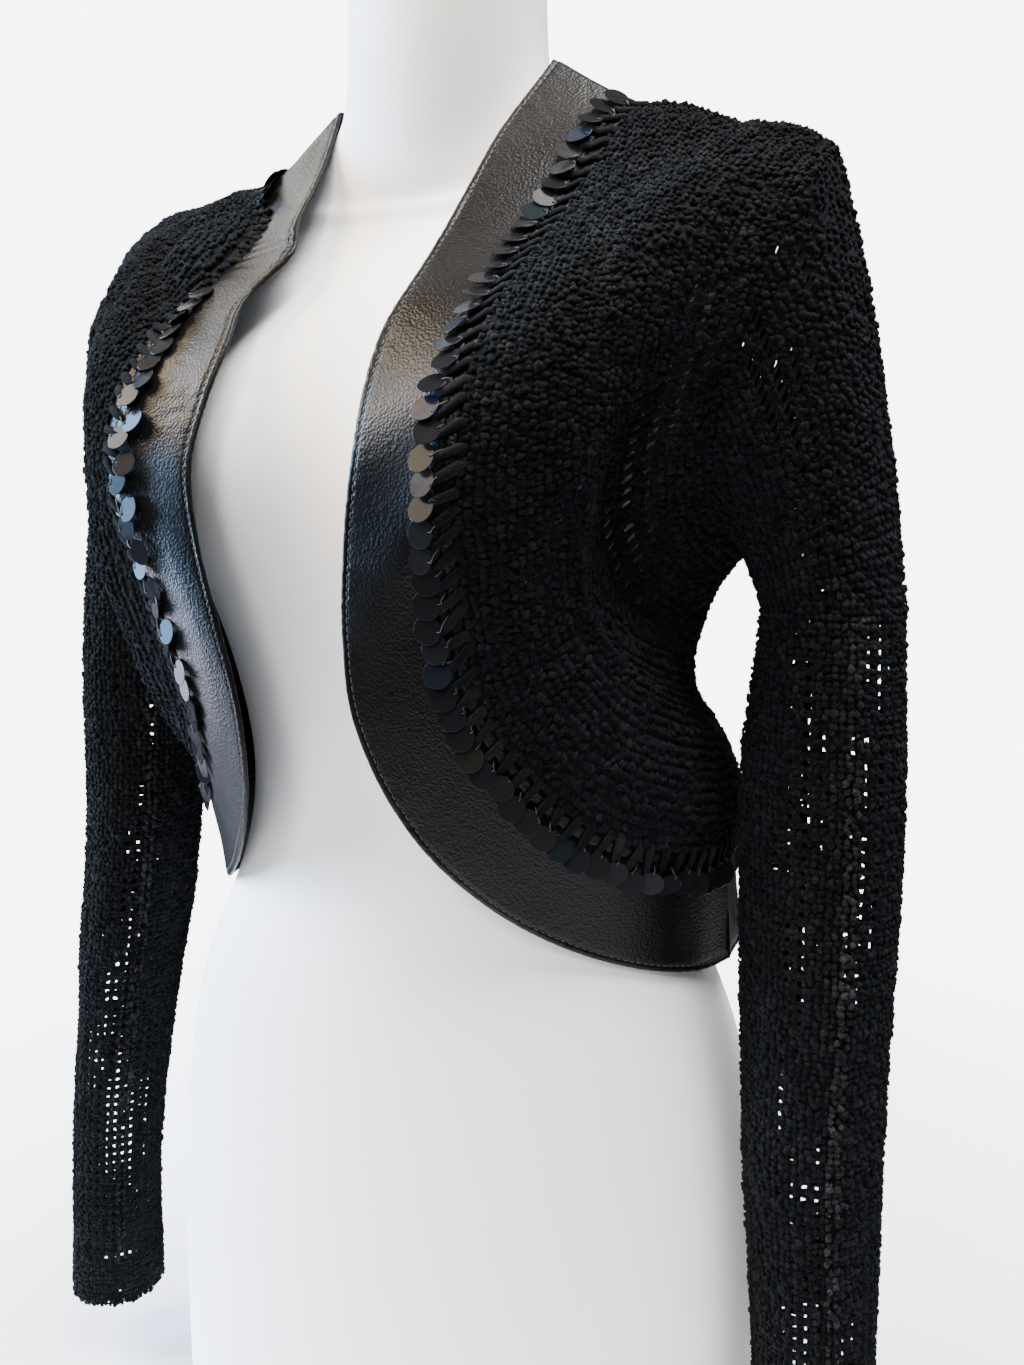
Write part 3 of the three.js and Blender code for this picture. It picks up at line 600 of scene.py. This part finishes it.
def crochet(cloth, open_share, seed, rows, pitch, count=None, stagger=0.5,
            hole=(0.5, 0.56), ridge=None, yarn=1.0):
    """Ground strips and yarn tufts of one panel. open_share(a, b) says how open the mesh is."""
    rng = np.random.default_rng(seed)
    ground, tuft_mesh = Builder(), Builder()
    for row in range(rows):
        low, high = row / rows, (row + 1) / rows
        middle = (low + high) / 2
        marks = cloth.marks(middle, pitch, stagger * (row % 2), count)
        centre, width = (marks[:-1] + marks[1:]) / 2, np.diff(marks)
        n = len(width)
        share = open_share(np.mod(centre, 1.0) if cloth.closed else centre, middle)
        dice = rng.uniform(0, 1, n)
        wide = OPENING.least + OPENING.more * share + rng.normal(0, OPENING.uneven, n)
        whole = width > WHOLE_STITCH * np.median(width)
        openness = np.where((dice < share) & whole, np.clip(wide, 0, OPENING.limit), 0)
        add_ground_row(ground, cloth, marks, low, high, openness, hole, rng)
        tufts = STITCH_TUFTS + rng.normal(0, 1, (n, 4, 3)) * TUFT_JITTER
        openness = openness[:, None]
        tufts[..., 0] *= 1 + OPENING.push * openness
        tufts[..., 1] = 0.5 + (tufts[..., 1] - 0.5) * (1 + 0.6 * OPENING.push * openness)
        if row % 2:
            tufts[..., 1] = 1 - tufts[..., 1]
        a = centre[:, None] + tufts[..., 0] * width[:, None]
        b = low + tufts[..., 1] * (high - low)
        lift = tufts[..., 2]
        shade = rng.uniform(0, 1, (n, 4))
        if ridge is not None:
            raised = ridge(np.mod(centre, 1.0), middle)[:, None]
            lift = lift + raised
            # Painted highlight: the ridge's tufts get a lighter tint
            shade = shade + raised * RIDGE_PAINTED_HIGHLIGHT
        points, normals = cloth.at(a, b, lift)
        ahead = unit(cloth.at(a, b + 0.01)[0] - cloth.at(a, b - 0.01)[0])
        lean = rng.normal(0, TUFT_LEAN, a.shape)[..., None]
        ahead = ahead * np.cos(lean) + np.cross(normals, ahead) * np.sin(lean)
        thin = yarn * (1 - OPENING.thin * openness) * rng.normal(1, TUFT_UNEVEN, a.shape)
        flat = [x.reshape(4 * n, -1) for x in (points, ahead, normals)]
        add_tufts(tuft_mesh, *flat, *(size * thin.reshape(-1, 1) for size in TUFT_SIZE),
                  shade.ravel())
    return ground, tuft_mesh


def add_fuzz(name, cloth):
    """Loose fibres: thin closed needles that lie on the yarn at all angles."""
    builder = Builder()
    rng = np.random.default_rng(sum(map(ord, name)))
    n = int(surface_area(cloth) / MM / MM * FUZZ_PER_AREA)
    a, b = rng.uniform(0, 1, n), rng.uniform(0.003, 0.997, n)
    root, normal = cloth.at(a, b, rng.uniform(-0.3, 0.9, n))
    random = rng.normal(0, 1, (n, 3))
    flat = unit(random - normal * (random * normal).sum(-1, keepdims=True))
    rise = rng.uniform(-0.05, 0.55, n)[:, None]
    direction = unit(flat + normal * rise)
    length = rng.uniform(2.0, 5.5, n)[:, None]
    aside, up = sides_of(direction, normal)
    corners = [root + (aside * math.cos(t) + up * math.sin(t)) * FUZZ_RADIUS
               for t in turns(3) + 0.5]
    vertices = np.stack([*corners, root + direction * length], axis=1)
    k = np.arange(n)[:, None] * 4
    faces = np.concatenate([k + [0, 1, 3], k + [1, 2, 3], k + [2, 0, 3], k + [2, 1, 0]])
    builder.add(vertices, faces, np.repeat(rng.uniform(0.6, 1.0, n), 4))
    return builder


# Materials

class Nodes:
    """A node tree, with short calls that add to it."""

    def __init__(self, owner):
        owner.use_nodes = True
        self.nodes = owner.node_tree.nodes
        self.links = owner.node_tree.links

    def set(self, node, **inputs):
        """Gives inputs their constants, or joins them to the outputs of other nodes."""
        for name, value in inputs.items():
            socket = node.inputs[name.replace("_", " ")]
            if isinstance(value, bpy.types.NodeSocket):
                self.links.new(value, socket)
            else:
                socket.default_value = value

    def add(self, kind, settings=None, **inputs):
        node = self.nodes.new("ShaderNode" + kind)
        for name, value in (settings or {}).items():
            setattr(node, name, value)
        self.set(node, **inputs)
        return node


class Look(Nodes):
    """A material, worked out in the object's own coordinates."""

    def __init__(self, name):
        self.material = bpy.data.materials.new(name)
        super().__init__(self.material)
        self.place = self.add("TexCoord").outputs["Object"]

    def tint(self):
        return self.add("Attribute", {"attribute_name": "tint"}).outputs["Fac"]

    def noise(self, scale, detail=3.0, roughness=0.55, stretch=None):
        vector = self.place
        if stretch is not None:
            vector = self.add("Mapping", Vector=vector, Scale=stretch).outputs["Vector"]
        return self.add("TexNoise", Vector=vector, Scale=scale, Detail=detail,
                        Roughness=roughness).outputs["Fac"]

    def plus(self, value, factor, other):
        """value * factor + other"""
        node = self.add("Math", {"operation": "MULTIPLY_ADD"})
        node.inputs[1].default_value = factor
        self.links.new(value, node.inputs[0])
        self.links.new(other, node.inputs[2])
        return node.outputs[0]

    def ramp(self, value, *stops):
        """Colours at places from 0 to 1. One number is a grey."""
        node = self.add("ValToRGB", Fac=value)
        elements = node.color_ramp.elements
        while len(elements) < len(stops):
            elements.new(0.5)
        for element, (place, *color) in zip(elements, stops):
            element.position = place
            element.color = (*(color if len(color) == 3 else color * 3), 1)
        return node.outputs["Color"]

    def bump(self, height, strength, distance, **before):
        return self.add("Bump", Height=height, Strength=strength, Distance=distance,
                        **before).outputs["Normal"]

    def shade(self, **inputs):
        self.set(self.nodes["Principled BSDF"], **inputs)
        return self.material


# The tint attribute brings random tone per tuft and fibre, and the painted highlight on the sleeve
# ridges
look = Look("fuzzy black yarn")
fine = look.noise(1500, 5, 0.75)
total = look.plus(look.noise(90, 2), 0.25, look.plus(look.tint(), 0.16, fine))
color = look.ramp(total, (0.50, 0.0010, 0.0011, 0.0012), (0.72, 0.0044, 0.0046, 0.0052),
                  (0.88, 0.0160, 0.0164, 0.0180), (1.0, 0.0520, 0.0530, 0.0560))
YARN = look.shade(Base_Color=color, Roughness=1.0, Specular_IOR_Level=0.05, Sheen_Weight=0.15,
                  Sheen_Roughness=0.35, Sheen_Tint=(0.11, 0.15, 0.20, 1),
                  Normal=look.bump(fine, 1.0, 0.0012))

look = Look("black grained leather")
grain = look.add("TexVoronoi", {"feature": "SMOOTH_F1"}, Vector=look.place, Scale=780,
                 Smoothness=0.35)
pebble = look.bump(grain.outputs["Distance"], 0.45, 0.00045)
wear = look.noise(26, 4)
LEATHER = look.shade(Base_Color=look.ramp(wear, (0.3, 0.0016), (0.7, 0.0034, 0.0032, 0.0031)),
                     Roughness=look.ramp(wear, (0.25, 0.30), (0.8, 0.46)), Specular_IOR_Level=0.095,
                     Normal=look.bump(look.noise(2600, 3), 0.18, 0.0001, Normal=pebble))

look = Look("black gloss paillette")
color = look.ramp(look.tint(), (0.0, 0.006, 0.006, 0.007), (0.86, 0.008, 0.008, 0.010),
                  (0.91, 0.006, 0.009, 0.018), (0.95, 0.006, 0.010, 0.010),
                  (1.0, 0.020, 0.013, 0.010))
PAILLETTE = look.shade(Base_Color=color, Specular_IOR_Level=0.032,
                       Roughness=look.ramp(look.noise(500, 2), (0.3, 0.14), (0.8, 0.26)))

look = Look("black waxed thread")
twist = look.noise(3200, 2)
THREAD = look.shade(Base_Color=look.ramp(twist, (0.3, 0.010), (0.75, 0.042)), Roughness=0.55,
                    Normal=look.bump(twist, 0.5, 0.0002))

look = Look("white jersey over the form")
color = look.ramp(look.noise(9, 3), (0.3, 0.89, 0.885, 0.89), (0.7, 0.93, 0.925, 0.93))
FORM = look.shade(Base_Color=color, Roughness=0.75, Sheen_Weight=0.1,
                  Normal=look.bump(look.noise(1500, 2, stretch=(1, 1, 0.45)), 0.25, 0.0002))

# The floor fades into the backdrop away from the form
look = Look("pale floor")
distance = look.add("VectorMath", {"operation": "LENGTH"}, Vector=look.place)
fade = look.add("MapRange", {"interpolation_type": "SMOOTHSTEP"}, Value=distance.outputs["Value"],
                From_Min=0.25, From_Max=1.2, To_Min=1.0, To_Max=0.0)
FLOOR = look.shade(Base_Color=look.ramp(look.noise(1.5, 2), (0.3, 0.90), (0.7, 0.92)),
                   Roughness=0.9, Specular_IOR_Level=0.1, Alpha=fade.outputs["Result"])


# Knitted panels
KNIT_INSET = 6.5
NECK_SHARE = (0.3, 0.7)
# Shares of open stitches: in the far half, in a patch by the armhole and in drifts
FRONT_OPEN = Sizes(base=0.08, upper=0.36, end=0.62, fade=3, start=0.22, rise=2.2, drift=0.26,
                  drift_a=3.0, drift_b=1.5, closed=0.16, patch=0.90)
FRONT_PATCH = Sizes(a=0.66, half_a=0.20, b=0.74, half_b=0.28)
BACK_OPEN = Sizes(base=0.5, drift=0.25, drift_a=2.2, drift_b=2.0)
CUFF_OPEN = 0.12
# The open stitches of a sleeve stand in columns, in drifts and, low down, in a plain grid
# The side that the body hides is open all over, from below the cap
SLEEVE_OPEN = Sizes(base=0.07, drift=0.42, drift_b=4.0, wander=0.35, wander_b=5.0, columns=6,
                    behind=0.35, turn=1.3, cap=0.14, ramp=6)
SLEEVE_SIDES = {
    1: Sizes(ridge=0.16, column=0.66, low=0.70, grid=0.2, columns_low=0.7, hidden=1.35,
             hidden_low=0),
    -1: Sizes(ridge=0.385, column=0.72, low=0.62, grid=0.75, columns_low=0, hidden=0.62,
              hidden_low=0.7),
}
RIDGE = Sizes(height=1.3, half=0.022, ramp=5, start=0.8)


def front_openness(sign):
    def share(a, b):
        # a runs from the shoulder down, b from the band to the armhole
        o, p = FRONT_OPEN, FRONT_PATCH
        upper = clamp((o.end - a) * o.fade) * clamp((b - o.start) * o.rise)
        patch = o.patch * bell(a - p.a, p.half_a) * bell(b - p.b, p.half_b)
        drift = ripple(11 + sign, a * o.drift_a, np.full_like(a, b * o.drift_b))
        whole = o.base + o.upper * upper + patch + o.drift * drift
        return clamp(whole) * (b > o.closed)
    return share


def back_openness(a, b):
    o = BACK_OPEN
    drift = ripple(21, a * o.drift_a, np.full_like(a, b * o.drift_b))
    return clamp(o.base + o.drift * drift)


def sleeve_openness(sign):
    def share(a, b):
        o, own = SLEEVE_OPEN, SLEEVE_SIDES[sign]
        turn = 2 * math.pi * (a - own.ridge)
        drift = ripple(31 + sign, np.cos(2 * math.pi * a), np.sin(2 * math.pi * a),
                       np.full_like(a, b * o.drift_b))
        wander = o.wander * ripple(35 + sign, b * o.wander_b + 0 * a, waves=3)
        column = (0.5 - 0.5 * np.cos(o.columns * (turn + wander))) ** 2
        hidden = clamp(o.behind - o.turn * np.cos(turn)) * clamp((b - o.cap) * o.ramp)
        low_down = clamp((b - own.low) * o.ramp)
        grid = low_down * clamp(own.grid + own.columns_low * column)
        shown = clamp(o.base + own.column * column + o.drift * drift + grid)
        return np.maximum(shown, (own.hidden + own.hidden_low * low_down) * hidden)
    return share


def sleeve_ridge(sign):
    def raised(a, b):
        aside = np.abs(np.mod(a - SLEEVE_SIDES[sign].ridge + 0.5, 1.0) - 0.5)
        rising = clamp(b * RIDGE.ramp - RIDGE.start)
        return RIDGE.height * bell(aside, RIDGE.half) * rising + 0 * a
    return raised


def knit_piece(name, knit, open_share, seed, **stitches):
    ground, yarn = crochet(knit, open_share, seed, **stitches)
    ground = ground.finish(name + "_crochet", YARN, "knit")
    yarn = yarn.finish(name + "_yarn", YARN, "knit")
    fuzz = add_fuzz(name, knit).finish(name + "_fuzz", YARN, "knit")
    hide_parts(name)


SIDES = (("left", 1), ("right", -1))
cloths = {"back": back_cloth()}
for side, sign in SIDES:
    cloths["front_" + side] = front_cloth(sign)
    cloths["sleeve_" + side] = sleeve_cloth(sign)
    cloths["cuff_" + side] = cuff_cloth(sign)

for side, sign in SIDES:
    cloth = cloths["front_" + side]
    start = cloth.reach(cloth.columns(), KNIT_INSET)
    if sign < 0:
        # the knit of the collar fold covers the band's edge
        fold = (cloth.columns() - COLLAR_FOLD.v) / COLLAR_FOLD.half_along
        start = start * (1 - bell(fold, COLLAR_FOLD.cover))
    knit_piece("front_" + side, cloth.trimmed(start, 0 * start), front_openness(sign),
               100 + sign, rows=17, pitch=5.2, hole=(0.54, 0.56))
cloth = cloths["back"]
in_neck = (0.5 * (NECK_SHARE[1] - NECK_SHARE[0]) - np.abs(cloth.columns() - 0.5)) * 60
knit = cloth.trimmed(cloth.reach(cloth.columns(), KNIT_INSET) * clamp(in_neck),
                     cloth.reach(cloth.columns(), KNIT_INSET, from_end=True))
knit_piece("back", knit, back_openness, 103, rows=46, pitch=5.3)
for side, sign in SIDES:
    knit_piece("sleeve_" + side, cloths["sleeve_" + side], sleeve_openness(sign), 110 + sign,
               rows=100, pitch=5.3, count=34, stagger=0.0, hole=(0.60, 0.61),
               ridge=sleeve_ridge(sign), yarn=1.05)
for side, sign in SIDES:
    knit_piece("cuff_" + side, cloths["cuff_" + side], lambda a, b: np.full_like(a, CUFF_OPEN),
               120 + sign, rows=5, pitch=4.6, count=36)

# Leather band
STITCH_INSET = 3.5
STITCH_STEP = 3.5
STITCH_RADIUS = 0.33
# columns: place along the stitch, height
STITCH = np.array([[-1.3, -0.62], [-0.7, -0.12], [0.7, -0.12], [1.3, -0.62]])
# columns: distance from the outer edge, height of the outer side, height of the inner side
EDGE_PROFILE = [
    [0.0, -0.95, -1.45], [0.25, -0.45, -1.85], [0.8, -0.08, -2.15], [1.7, 0.10, -2.3],
    [2.8, -0.05, -2.2], [3.5, -0.45, -1.95], [4.2, -0.05, -2.2], [5.4, 0.05, -2.2],
]
EDGE_WIDTH = 5.4
BAND_MIDDLE = [EDGE_WIDTH, 0.0, -2.2]
BAND_STEPS = 13
BAND_PITCH = 2.0
FLANGE_SHARES = np.array([0.0, 0.3, 0.7, 1.0])
FLANGE_LIFTS = (-0.25, -1.7)
# Creases that fan out where the fold above bends the far front's band
PUCKERS = Sizes(middle=100, half=17, pitch=11, spread=60, height=0.55)


def leather_relief(s, d, seed):
    """Height of the leather's wrinkles at s along the band and d from its outer edge."""
    fine = ripple(seed, s / 6.0, d / 26.0, waves=8) * 0.16 * np.exp(-d / 8.0)
    crease = ripple(seed + 1, s / 26.0, d / 34.0, waves=8)
    crease = -0.45 * bell(crease, 0.12) * clamp(ripple(seed + 2, s / 90.0, d / 80.0) * 0.8)
    wave = 0.55 * ripple(seed + 3, s / 110.0, d / 90.0, waves=4)
    return fine + crease + wave * clamp(d / 4) * clamp((60 - d) / 30)


def knit_side(name, t, distance):
    """Points and normals on the knit, a distance in mm from the band's inner edge, at t."""
    from_end = name == "band_hem"
    if name == "band_neck":
        t = NECK_SHARE[0] + (NECK_SHARE[1] - NECK_SHARE[0]) * t
    cloth = cloths[name[5:] if name[5:] in cloths else "back"]
    b = cloth.reach(t, distance, from_end)
    return cloth.at(t, 1 - b if from_end else b)


def leather_band(name, near, far, outward, seed, flat):
    """The leather of one band. Its cloth has b 0 at the outer edge and b 1 at the inner edge."""
    t = np.linspace(0, 1, 13)[None, :, None]
    cloth = Cloth(place_on_body(far[:, None] * (1 - t) + near[:, None] * t), outward=outward)
    length = running_length(cloth.points[:, 0])
    steps = max(40, int(length[-1] / BAND_PITCH))

    def place_at(s):
        return np.interp(s, length / length[-1], cloth.columns())

    a = place_at(np.linspace(0, 1, steps + 1))
    s = np.linspace(0, length[-1], steps + 1)
    width = np.linalg.norm(cloth.at(a, 1.0)[0] - cloth.at(a, 0.0)[0], axis=1)
    inset, top, bottom = np.array(EDGE_PROFILE + [BAND_MIDDLE] * BAND_STEPS).T
    inset = inset[None].repeat(steps + 1, 0)
    spread = np.linspace(0, 1, BAND_STEPS + 1)[1:]
    inset[:, len(EDGE_PROFILE):] += (width[:, None] - EDGE_WIDTH) * spread
    b = inset / width[:, None]
    relief = leather_relief(s[:, None] + 0 * inset, inset, seed)
    if name == "band_front_right":
        off = s[:, None] - PUCKERS.middle
        fan = np.sin(2 * math.pi * off * (1 + inset / PUCKERS.spread) / PUCKERS.pitch)
        relief = relief + PUCKERS.height * fan * bell(off, PUCKERS.half) * clamp(inset / 5)
    relief = relief * clamp((1 - b) * 6)
    shell = Builder()
    add_shell(shell, *(cloth.at(a[:, None], b, side + relief)[0] for side in (top, bottom)),
              outward)
    under, up = knit_side(name, a[:, None] + 0 * FLANGE_SHARES,
                          FLANGE_SHARES * KNIT_INSET + 0 * a[:, None])
    add_shell(shell, *(under + up * lift for lift in FLANGE_LIFTS), -outward)
    piece = shell.finish(name + "_leather", LEATHER, "leather")
    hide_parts(name)
    thread = Builder()
    count = int(length[-1] / STITCH_STEP)
    at = (np.arange(count)[:, None] + 0.5) / count * length[-1]
    wide = np.interp(at, s, width)
    at = at + STITCH[:, 0]
    inset = STITCH_INSET + 0 * at
    lift = STITCH[:, 1] + leather_relief(at, inset, seed)
    centres, normals = cloth.at(place_at(at / length[-1]), inset / wide, lift)
    add_tubes(thread, centres, normals, STITCH_RADIUS, STITCH_RADIUS)
    stitches = thread.finish(name + "_topstitch", THREAD, "leather")
    return cloth


# Paillettes, yarn bars and the threads that hold them
# tilt and roll: mean and spread of the angles
DISC = Sizes(radius=6.0, step=9.4, inset=8.0, thick=0.3, bevel=0.25, corners=18, hole=0.65,
             hole_offset=4.4, lift=2.05, tilt=(-0.24, 0.10), roll=(0.04, 0.17))
THREAD_RADIUS = 0.22
BAR_STEP = 8.2
BAR_RADIUS = 2.0
BAR_HEIGHT = 1.15
# columns: distance over the band, less than 0 on the knit, then height and taper
BAR = np.array([[-9.5, -0.6, 0.7], [-6.5, 0.75, 1.1], [-3.5, 0.85, 1.0], [-0.2, 0.9, 0.95],
                [3.2, 0.8, 0.85], [6.6, -0.3, 0.5]])
# The fold of the far front hides part of its line, and lower down the line is doubled
COVERED = (0.06, 0.22)
ZIGZAG = Sizes(reach=2.6, at=0.42, half=0.16)


def disc_mesh():
    """A thin disc with a small hole near one side, around the origin, facing +Z."""
    turn = turns(DISC.corners)
    rim = np.stack([np.cos(turn), np.sin(turn)], -1)
    hole = rim * DISC.hole + np.array([0, DISC.hole_offset])
    half = DISC.thick / 2
    rings = [(rim * (DISC.radius - DISC.bevel), half), (rim * DISC.radius, 0.0),
             (rim * (DISC.radius - DISC.bevel), -half), (hole, -half), (hole, half)]
    vertices = np.concatenate([np.column_stack([xy, np.full(DISC.corners, z)]) for xy, z in rings])
    at = np.arange(len(rings) * DISC.corners).reshape(len(rings), DISC.corners)
    faces = []
    for k in range(len(rings)):
        p, q = at[k], at[(k + 1) % len(rings)]
        faces.append(quads(p, q, np.roll(q, -1), np.roll(p, -1)))
    return vertices, np.concatenate(faces)


def along_edge(cloth, b, step, start=0.5):
    """Places along a band at even steps on its line b."""
    a = np.linspace(0, 1, 400)
    length = running_length(cloth.at(a, b)[0])
    n = int(round(length[-1] / step))
    return np.interp((np.arange(n) + start) / n * length[-1], length, a)


def trim_band(name, cloth, seed):
    """Paillettes, their threads and the yarn bars along the inner edge of one band."""
    rng = np.random.default_rng(seed)
    discs, threads, bars = Builder(), Builder(), Builder()
    shape, faces = disc_mesh()
    far_front = name == "band_front_right"
    width = np.linalg.norm(cloth.at(0.5, 1.0)[0] - cloth.at(0.5, 0.0)[0])
    b = 1 - DISC.inset / width
    for k, a in enumerate(along_edge(cloth, b, DISC.step)):
        if far_front and COVERED[0] < a < COVERED[1]:
            continue
        zigzag = ZIGZAG.reach * (-1) ** k * bell(a - ZIGZAG.at, ZIGZAG.half) * far_front
        line = b + (rng.normal(0, 0.9) + zigzag) / width
        centre, normal = cloth.at(a, line, DISC.lift + rng.uniform(0, 0.25))
        ahead = unit(cloth.at(a + 0.004, line)[0] - cloth.at(a - 0.004, line)[0])
        aside = np.cross(normal, ahead)
        aside = aside * np.sign(aside @ (cloth.at(a, 1.0)[0] - cloth.at(a, 0.5)[0]))
        spin = rng.normal(0, 0.35)
        y_axis = unit(aside * math.cos(spin) + ahead * math.sin(spin))
        tilt = rng.normal(*DISC.tilt)
        roll = rng.normal(*DISC.roll)
        facing = unit(normal + ahead * tilt + aside * roll)
        x_axis = unit(np.cross(y_axis, facing))
        y_axis = np.cross(facing, x_axis)
        discs.add(centre + shape @ np.stack([x_axis, y_axis, facing]), faces, rng.uniform(0, 1))
        hole = centre + y_axis * DISC.hole_offset
        seam, up = cloth.at(a, 1 + 0.5 / width, 0.5)
        path = np.stack([hole - facing * 0.8, hole + facing * 0.5,
                         hole + y_axis * 1.3 + facing * 0.55, (hole + seam) / 2 + up * 0.9, seam])
        add_tubes(threads, path[None], facing, THREAD_RADIUS, THREAD_RADIUS)
    along, rise, taper = BAR.T
    for t in along_edge(cloth, 0.99, BAR_STEP, start=0.25):
        t_bent = t + rng.normal(0, 0.0016) * along / 6
        reach = along * rng.normal(1, 0.07)
        on_knit, up = knit_side(name, t_bent, np.maximum(-reach, 0))
        on_band, up_band = cloth.at(t_bent, 1 - np.maximum(reach, 0) / width)
        knit_share = (reach < 0)[:, None]
        up = np.where(knit_share, up, up_band)
        centres = np.where(knit_share, on_knit, on_band) + up * rise[:, None]
        wide = BAR_RADIUS * taper * rng.uniform(0.85, 1.15)
        add_tubes(bars, centres[None], up[None], wide[None], BAR_HEIGHT * taper[None], 6,
                  tint=rng.uniform(0, 1, 1))
    discs.finish(name + "_paillettes", PAILLETTE, "leather", sharp=True)
    threads.finish(name + "_threads", THREAD, "knit")
    bars.finish(name + "_yarn_bars", YARN, "knit")


# columns: inner edge, outer edge, side, outward side, seed, flat width and length in metres
BANDS = {
    "band_front_left": (BAND_INNER, BAND_OUTER, 1, 1, 41, (0.055, 0.58)),
    "band_front_right": (BAND_INNER, BAND_OUTER, -1, -1, 51, (0.055, 0.58)),
    "band_neck": (both_halves(NECK_INNER), both_halves(NECK_OUTER), 1, -1, 61, (0.060, 0.26)),
    "band_hem": (both_halves(HEM_INNER), both_halves(HEM_OUTER), 1, 1, 71, (0.055, 0.40)),
}
bands = {name: leather_band(name, *band_curves(*row[:3]), *row[3:]) for name, row in BANDS.items()}
for seed, (name, cloth) in enumerate(bands.items()):
    trim_band(name, cloth, 200 + seed)


# Dress form

def form_rings(cells=96):
    cos, ahead = np.cos(turns(cells)), np.sin(turns(cells))

    def ring(half_width, front, behind, cy, z, bust):
        x = half_width * cos
        z = z + np.zeros(cells)
        aside = bell(np.abs(x) - BUST.x, BUST.half_width)
        facing = clamp(2 * ahead) if bust else 0
        swell = BUST.rise * aside * bell(z - BUST.z, BUST.half_height) * facing
        y = cy - ahead * np.where(ahead > 0, front, behind) - swell
        return np.stack([x + sway(z), y, z], -1)

    rings = []
    for z in np.linspace(0, FORM_TORSO[-1][0], 70):
        _, half_width, front, behind, cy = table_at(FORM_TORSO, z)
        rings.append(ring(half_width, front, behind, cy, z, True))
    share = cos ** 2
    last, neck = FORM_TORSO[-1], FORM_SHOULDER[-1]
    rows = [[*last[1:], *last[:1] * 3], *FORM_SHOULDER, [*neck[:4], *[NECK_STUB_TOP] * 3]]
    keyed = [[k, *row] for k, row in enumerate(rows)]
    for k in np.linspace(0, len(rows) - 1, 4 * (len(rows) - 1) + 1)[1:]:
        _, half_width, front, behind, cy, side, before, back = table_at(keyed, k)
        height = side * share + np.where(ahead > 0, before, back) * (1 - share)
        rings.append(ring(half_width, front, behind, cy, height, False))
    grid = np.stack(rings, axis=1) + TO_FRAME
    for _ in range(FORM_SMOOTHING):
        grid[:, 1:-1] = (grid[:, :-2] + 2 * grid[:, 1:-1] + grid[:, 2:]) / 4
    return grid


rings = form_rings()
at = np.arange(rings.shape[0] * rings.shape[1]).reshape(rings.shape[:2])
builder = Builder()
builder.add(rings, tube_faces(at.T[None]))
piece = builder.finish("dress_form", FORM, "form")
piece.data.set_sharp_from_angle(angle=math.radians(50))
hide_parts("form")

# Floor, camera and lights
bpy.ops.mesh.primitive_circle_add(vertices=64, radius=2.3, fill_type="NGON",
                                  location=(0, 0, -0.0005))
floor = bpy.context.object
floor.name = "floor"
floor.data.materials.append(FLOOR)


def put(name, data, place, right, forward):
    """An object that looks forward, as cameras and lights do."""
    item = bpy.data.objects.new(name, data)
    axes = np.column_stack([right, np.cross(right, forward), -forward])
    item.matrix_world = Matrix([[*axes[k], place[k]] for k in range(3)] + [[0, 0, 0, 1]])
    bpy.context.scene.collection.objects.link(item)
    return item


def area_light(name, place, target, width, height, power, color):
    data = bpy.data.lights.new(name, "AREA")
    data.shape = "RECTANGLE"
    data.size, data.size_y = width, height
    data.energy = power
    data.color = color
    forward = unit(np.array(target, float) - np.array(place, float))
    right = unit(np.cross(forward, [0, 0, 1]))
    put(name, data, place, right, forward).visible_camera = False


turn, yaw, pitch, roll = (math.radians(angle) for angle in CAMERA.angles)
heading = turn + yaw
eye = np.array([CAMERA.distance * math.sin(turn), -CAMERA.distance * math.cos(turn),
                CAMERA.height]) + TO_FRAME
forward = np.array([-math.sin(heading) * math.cos(pitch), math.cos(heading) * math.cos(pitch),
                    math.sin(pitch)])
right = unit(np.cross(forward, [0, 0, 1]))
right = right * math.cos(roll) + np.cross(right, forward) * math.sin(roll)
camera = bpy.data.cameras.new("camera")
camera.sensor_width = SENSOR
camera.lens = SENSOR * FOCAL_PIXELS / IMAGE_HEIGHT
camera.clip_start = 0.01
bpy.context.scene.camera = put("camera", camera, eye * MM, right, forward)

for light in (
    ("window", (-2.2, -0.5, 1.1), (0, 0, 0.55), 1.1, 1.9, 330, (0.34, 0.61, 1.0)),
    ("low window", (-1.1, -0.1, 0.28), (0, 0, 0.45), 0.35, 0.4, 8, (0.80, 0.80, 1.0)),
    ("rear left", (-1.5, 0.5, 1.7), (0, 0, 0.6), 0.6, 0.6, 9, (1.0, 0.95, 0.84)),
    ("lamp", (0.3, -2.3, 2.2), (0, 0, 0.5), 0.8, 0.7, 62, (1.0, 0.95, 0.90)),
    ("overhead", (0.7, -0.1, 2.9), (0, 0, 0.5), 1.4, 1.4, 270, (1.0, 0.97, 0.94)),
    ("back light", (1.5, 1.9, 1.2), (0, 0, 0.5), 1.2, 1.4, 14, (1.0, 0.97, 0.94)),
    ("highlight", (-1.06, -0.70, 1.65), (0.05, -0.1, 0.6), 0.70, 1.0, 84, (1.0, 0.78, 0.52)),
):
    area_light(*light)

# A white backdrop for the camera, and a dimmer even light for the object
ROOM_LIGHT = 0.09
BACKDROP_LIGHT = 9.0
world = bpy.data.worlds.new("studio")
bpy.context.scene.world = world
sky = Nodes(world)
room = sky.nodes["Background"]
sky.set(room, Color=(0.93, 0.96, 1.0, 1), Strength=ROOM_LIGHT)
backdrop = sky.add("Background", Strength=BACKDROP_LIGHT)
mix = sky.add("MixShader", Fac=sky.add("LightPath").outputs["Is Camera Ray"])
sky.links.new(room.outputs[0], mix.inputs[1])
sky.links.new(backdrop.outputs[0], mix.inputs[2])
sky.set(sky.nodes["World Output"], Surface=mix.outputs[0])
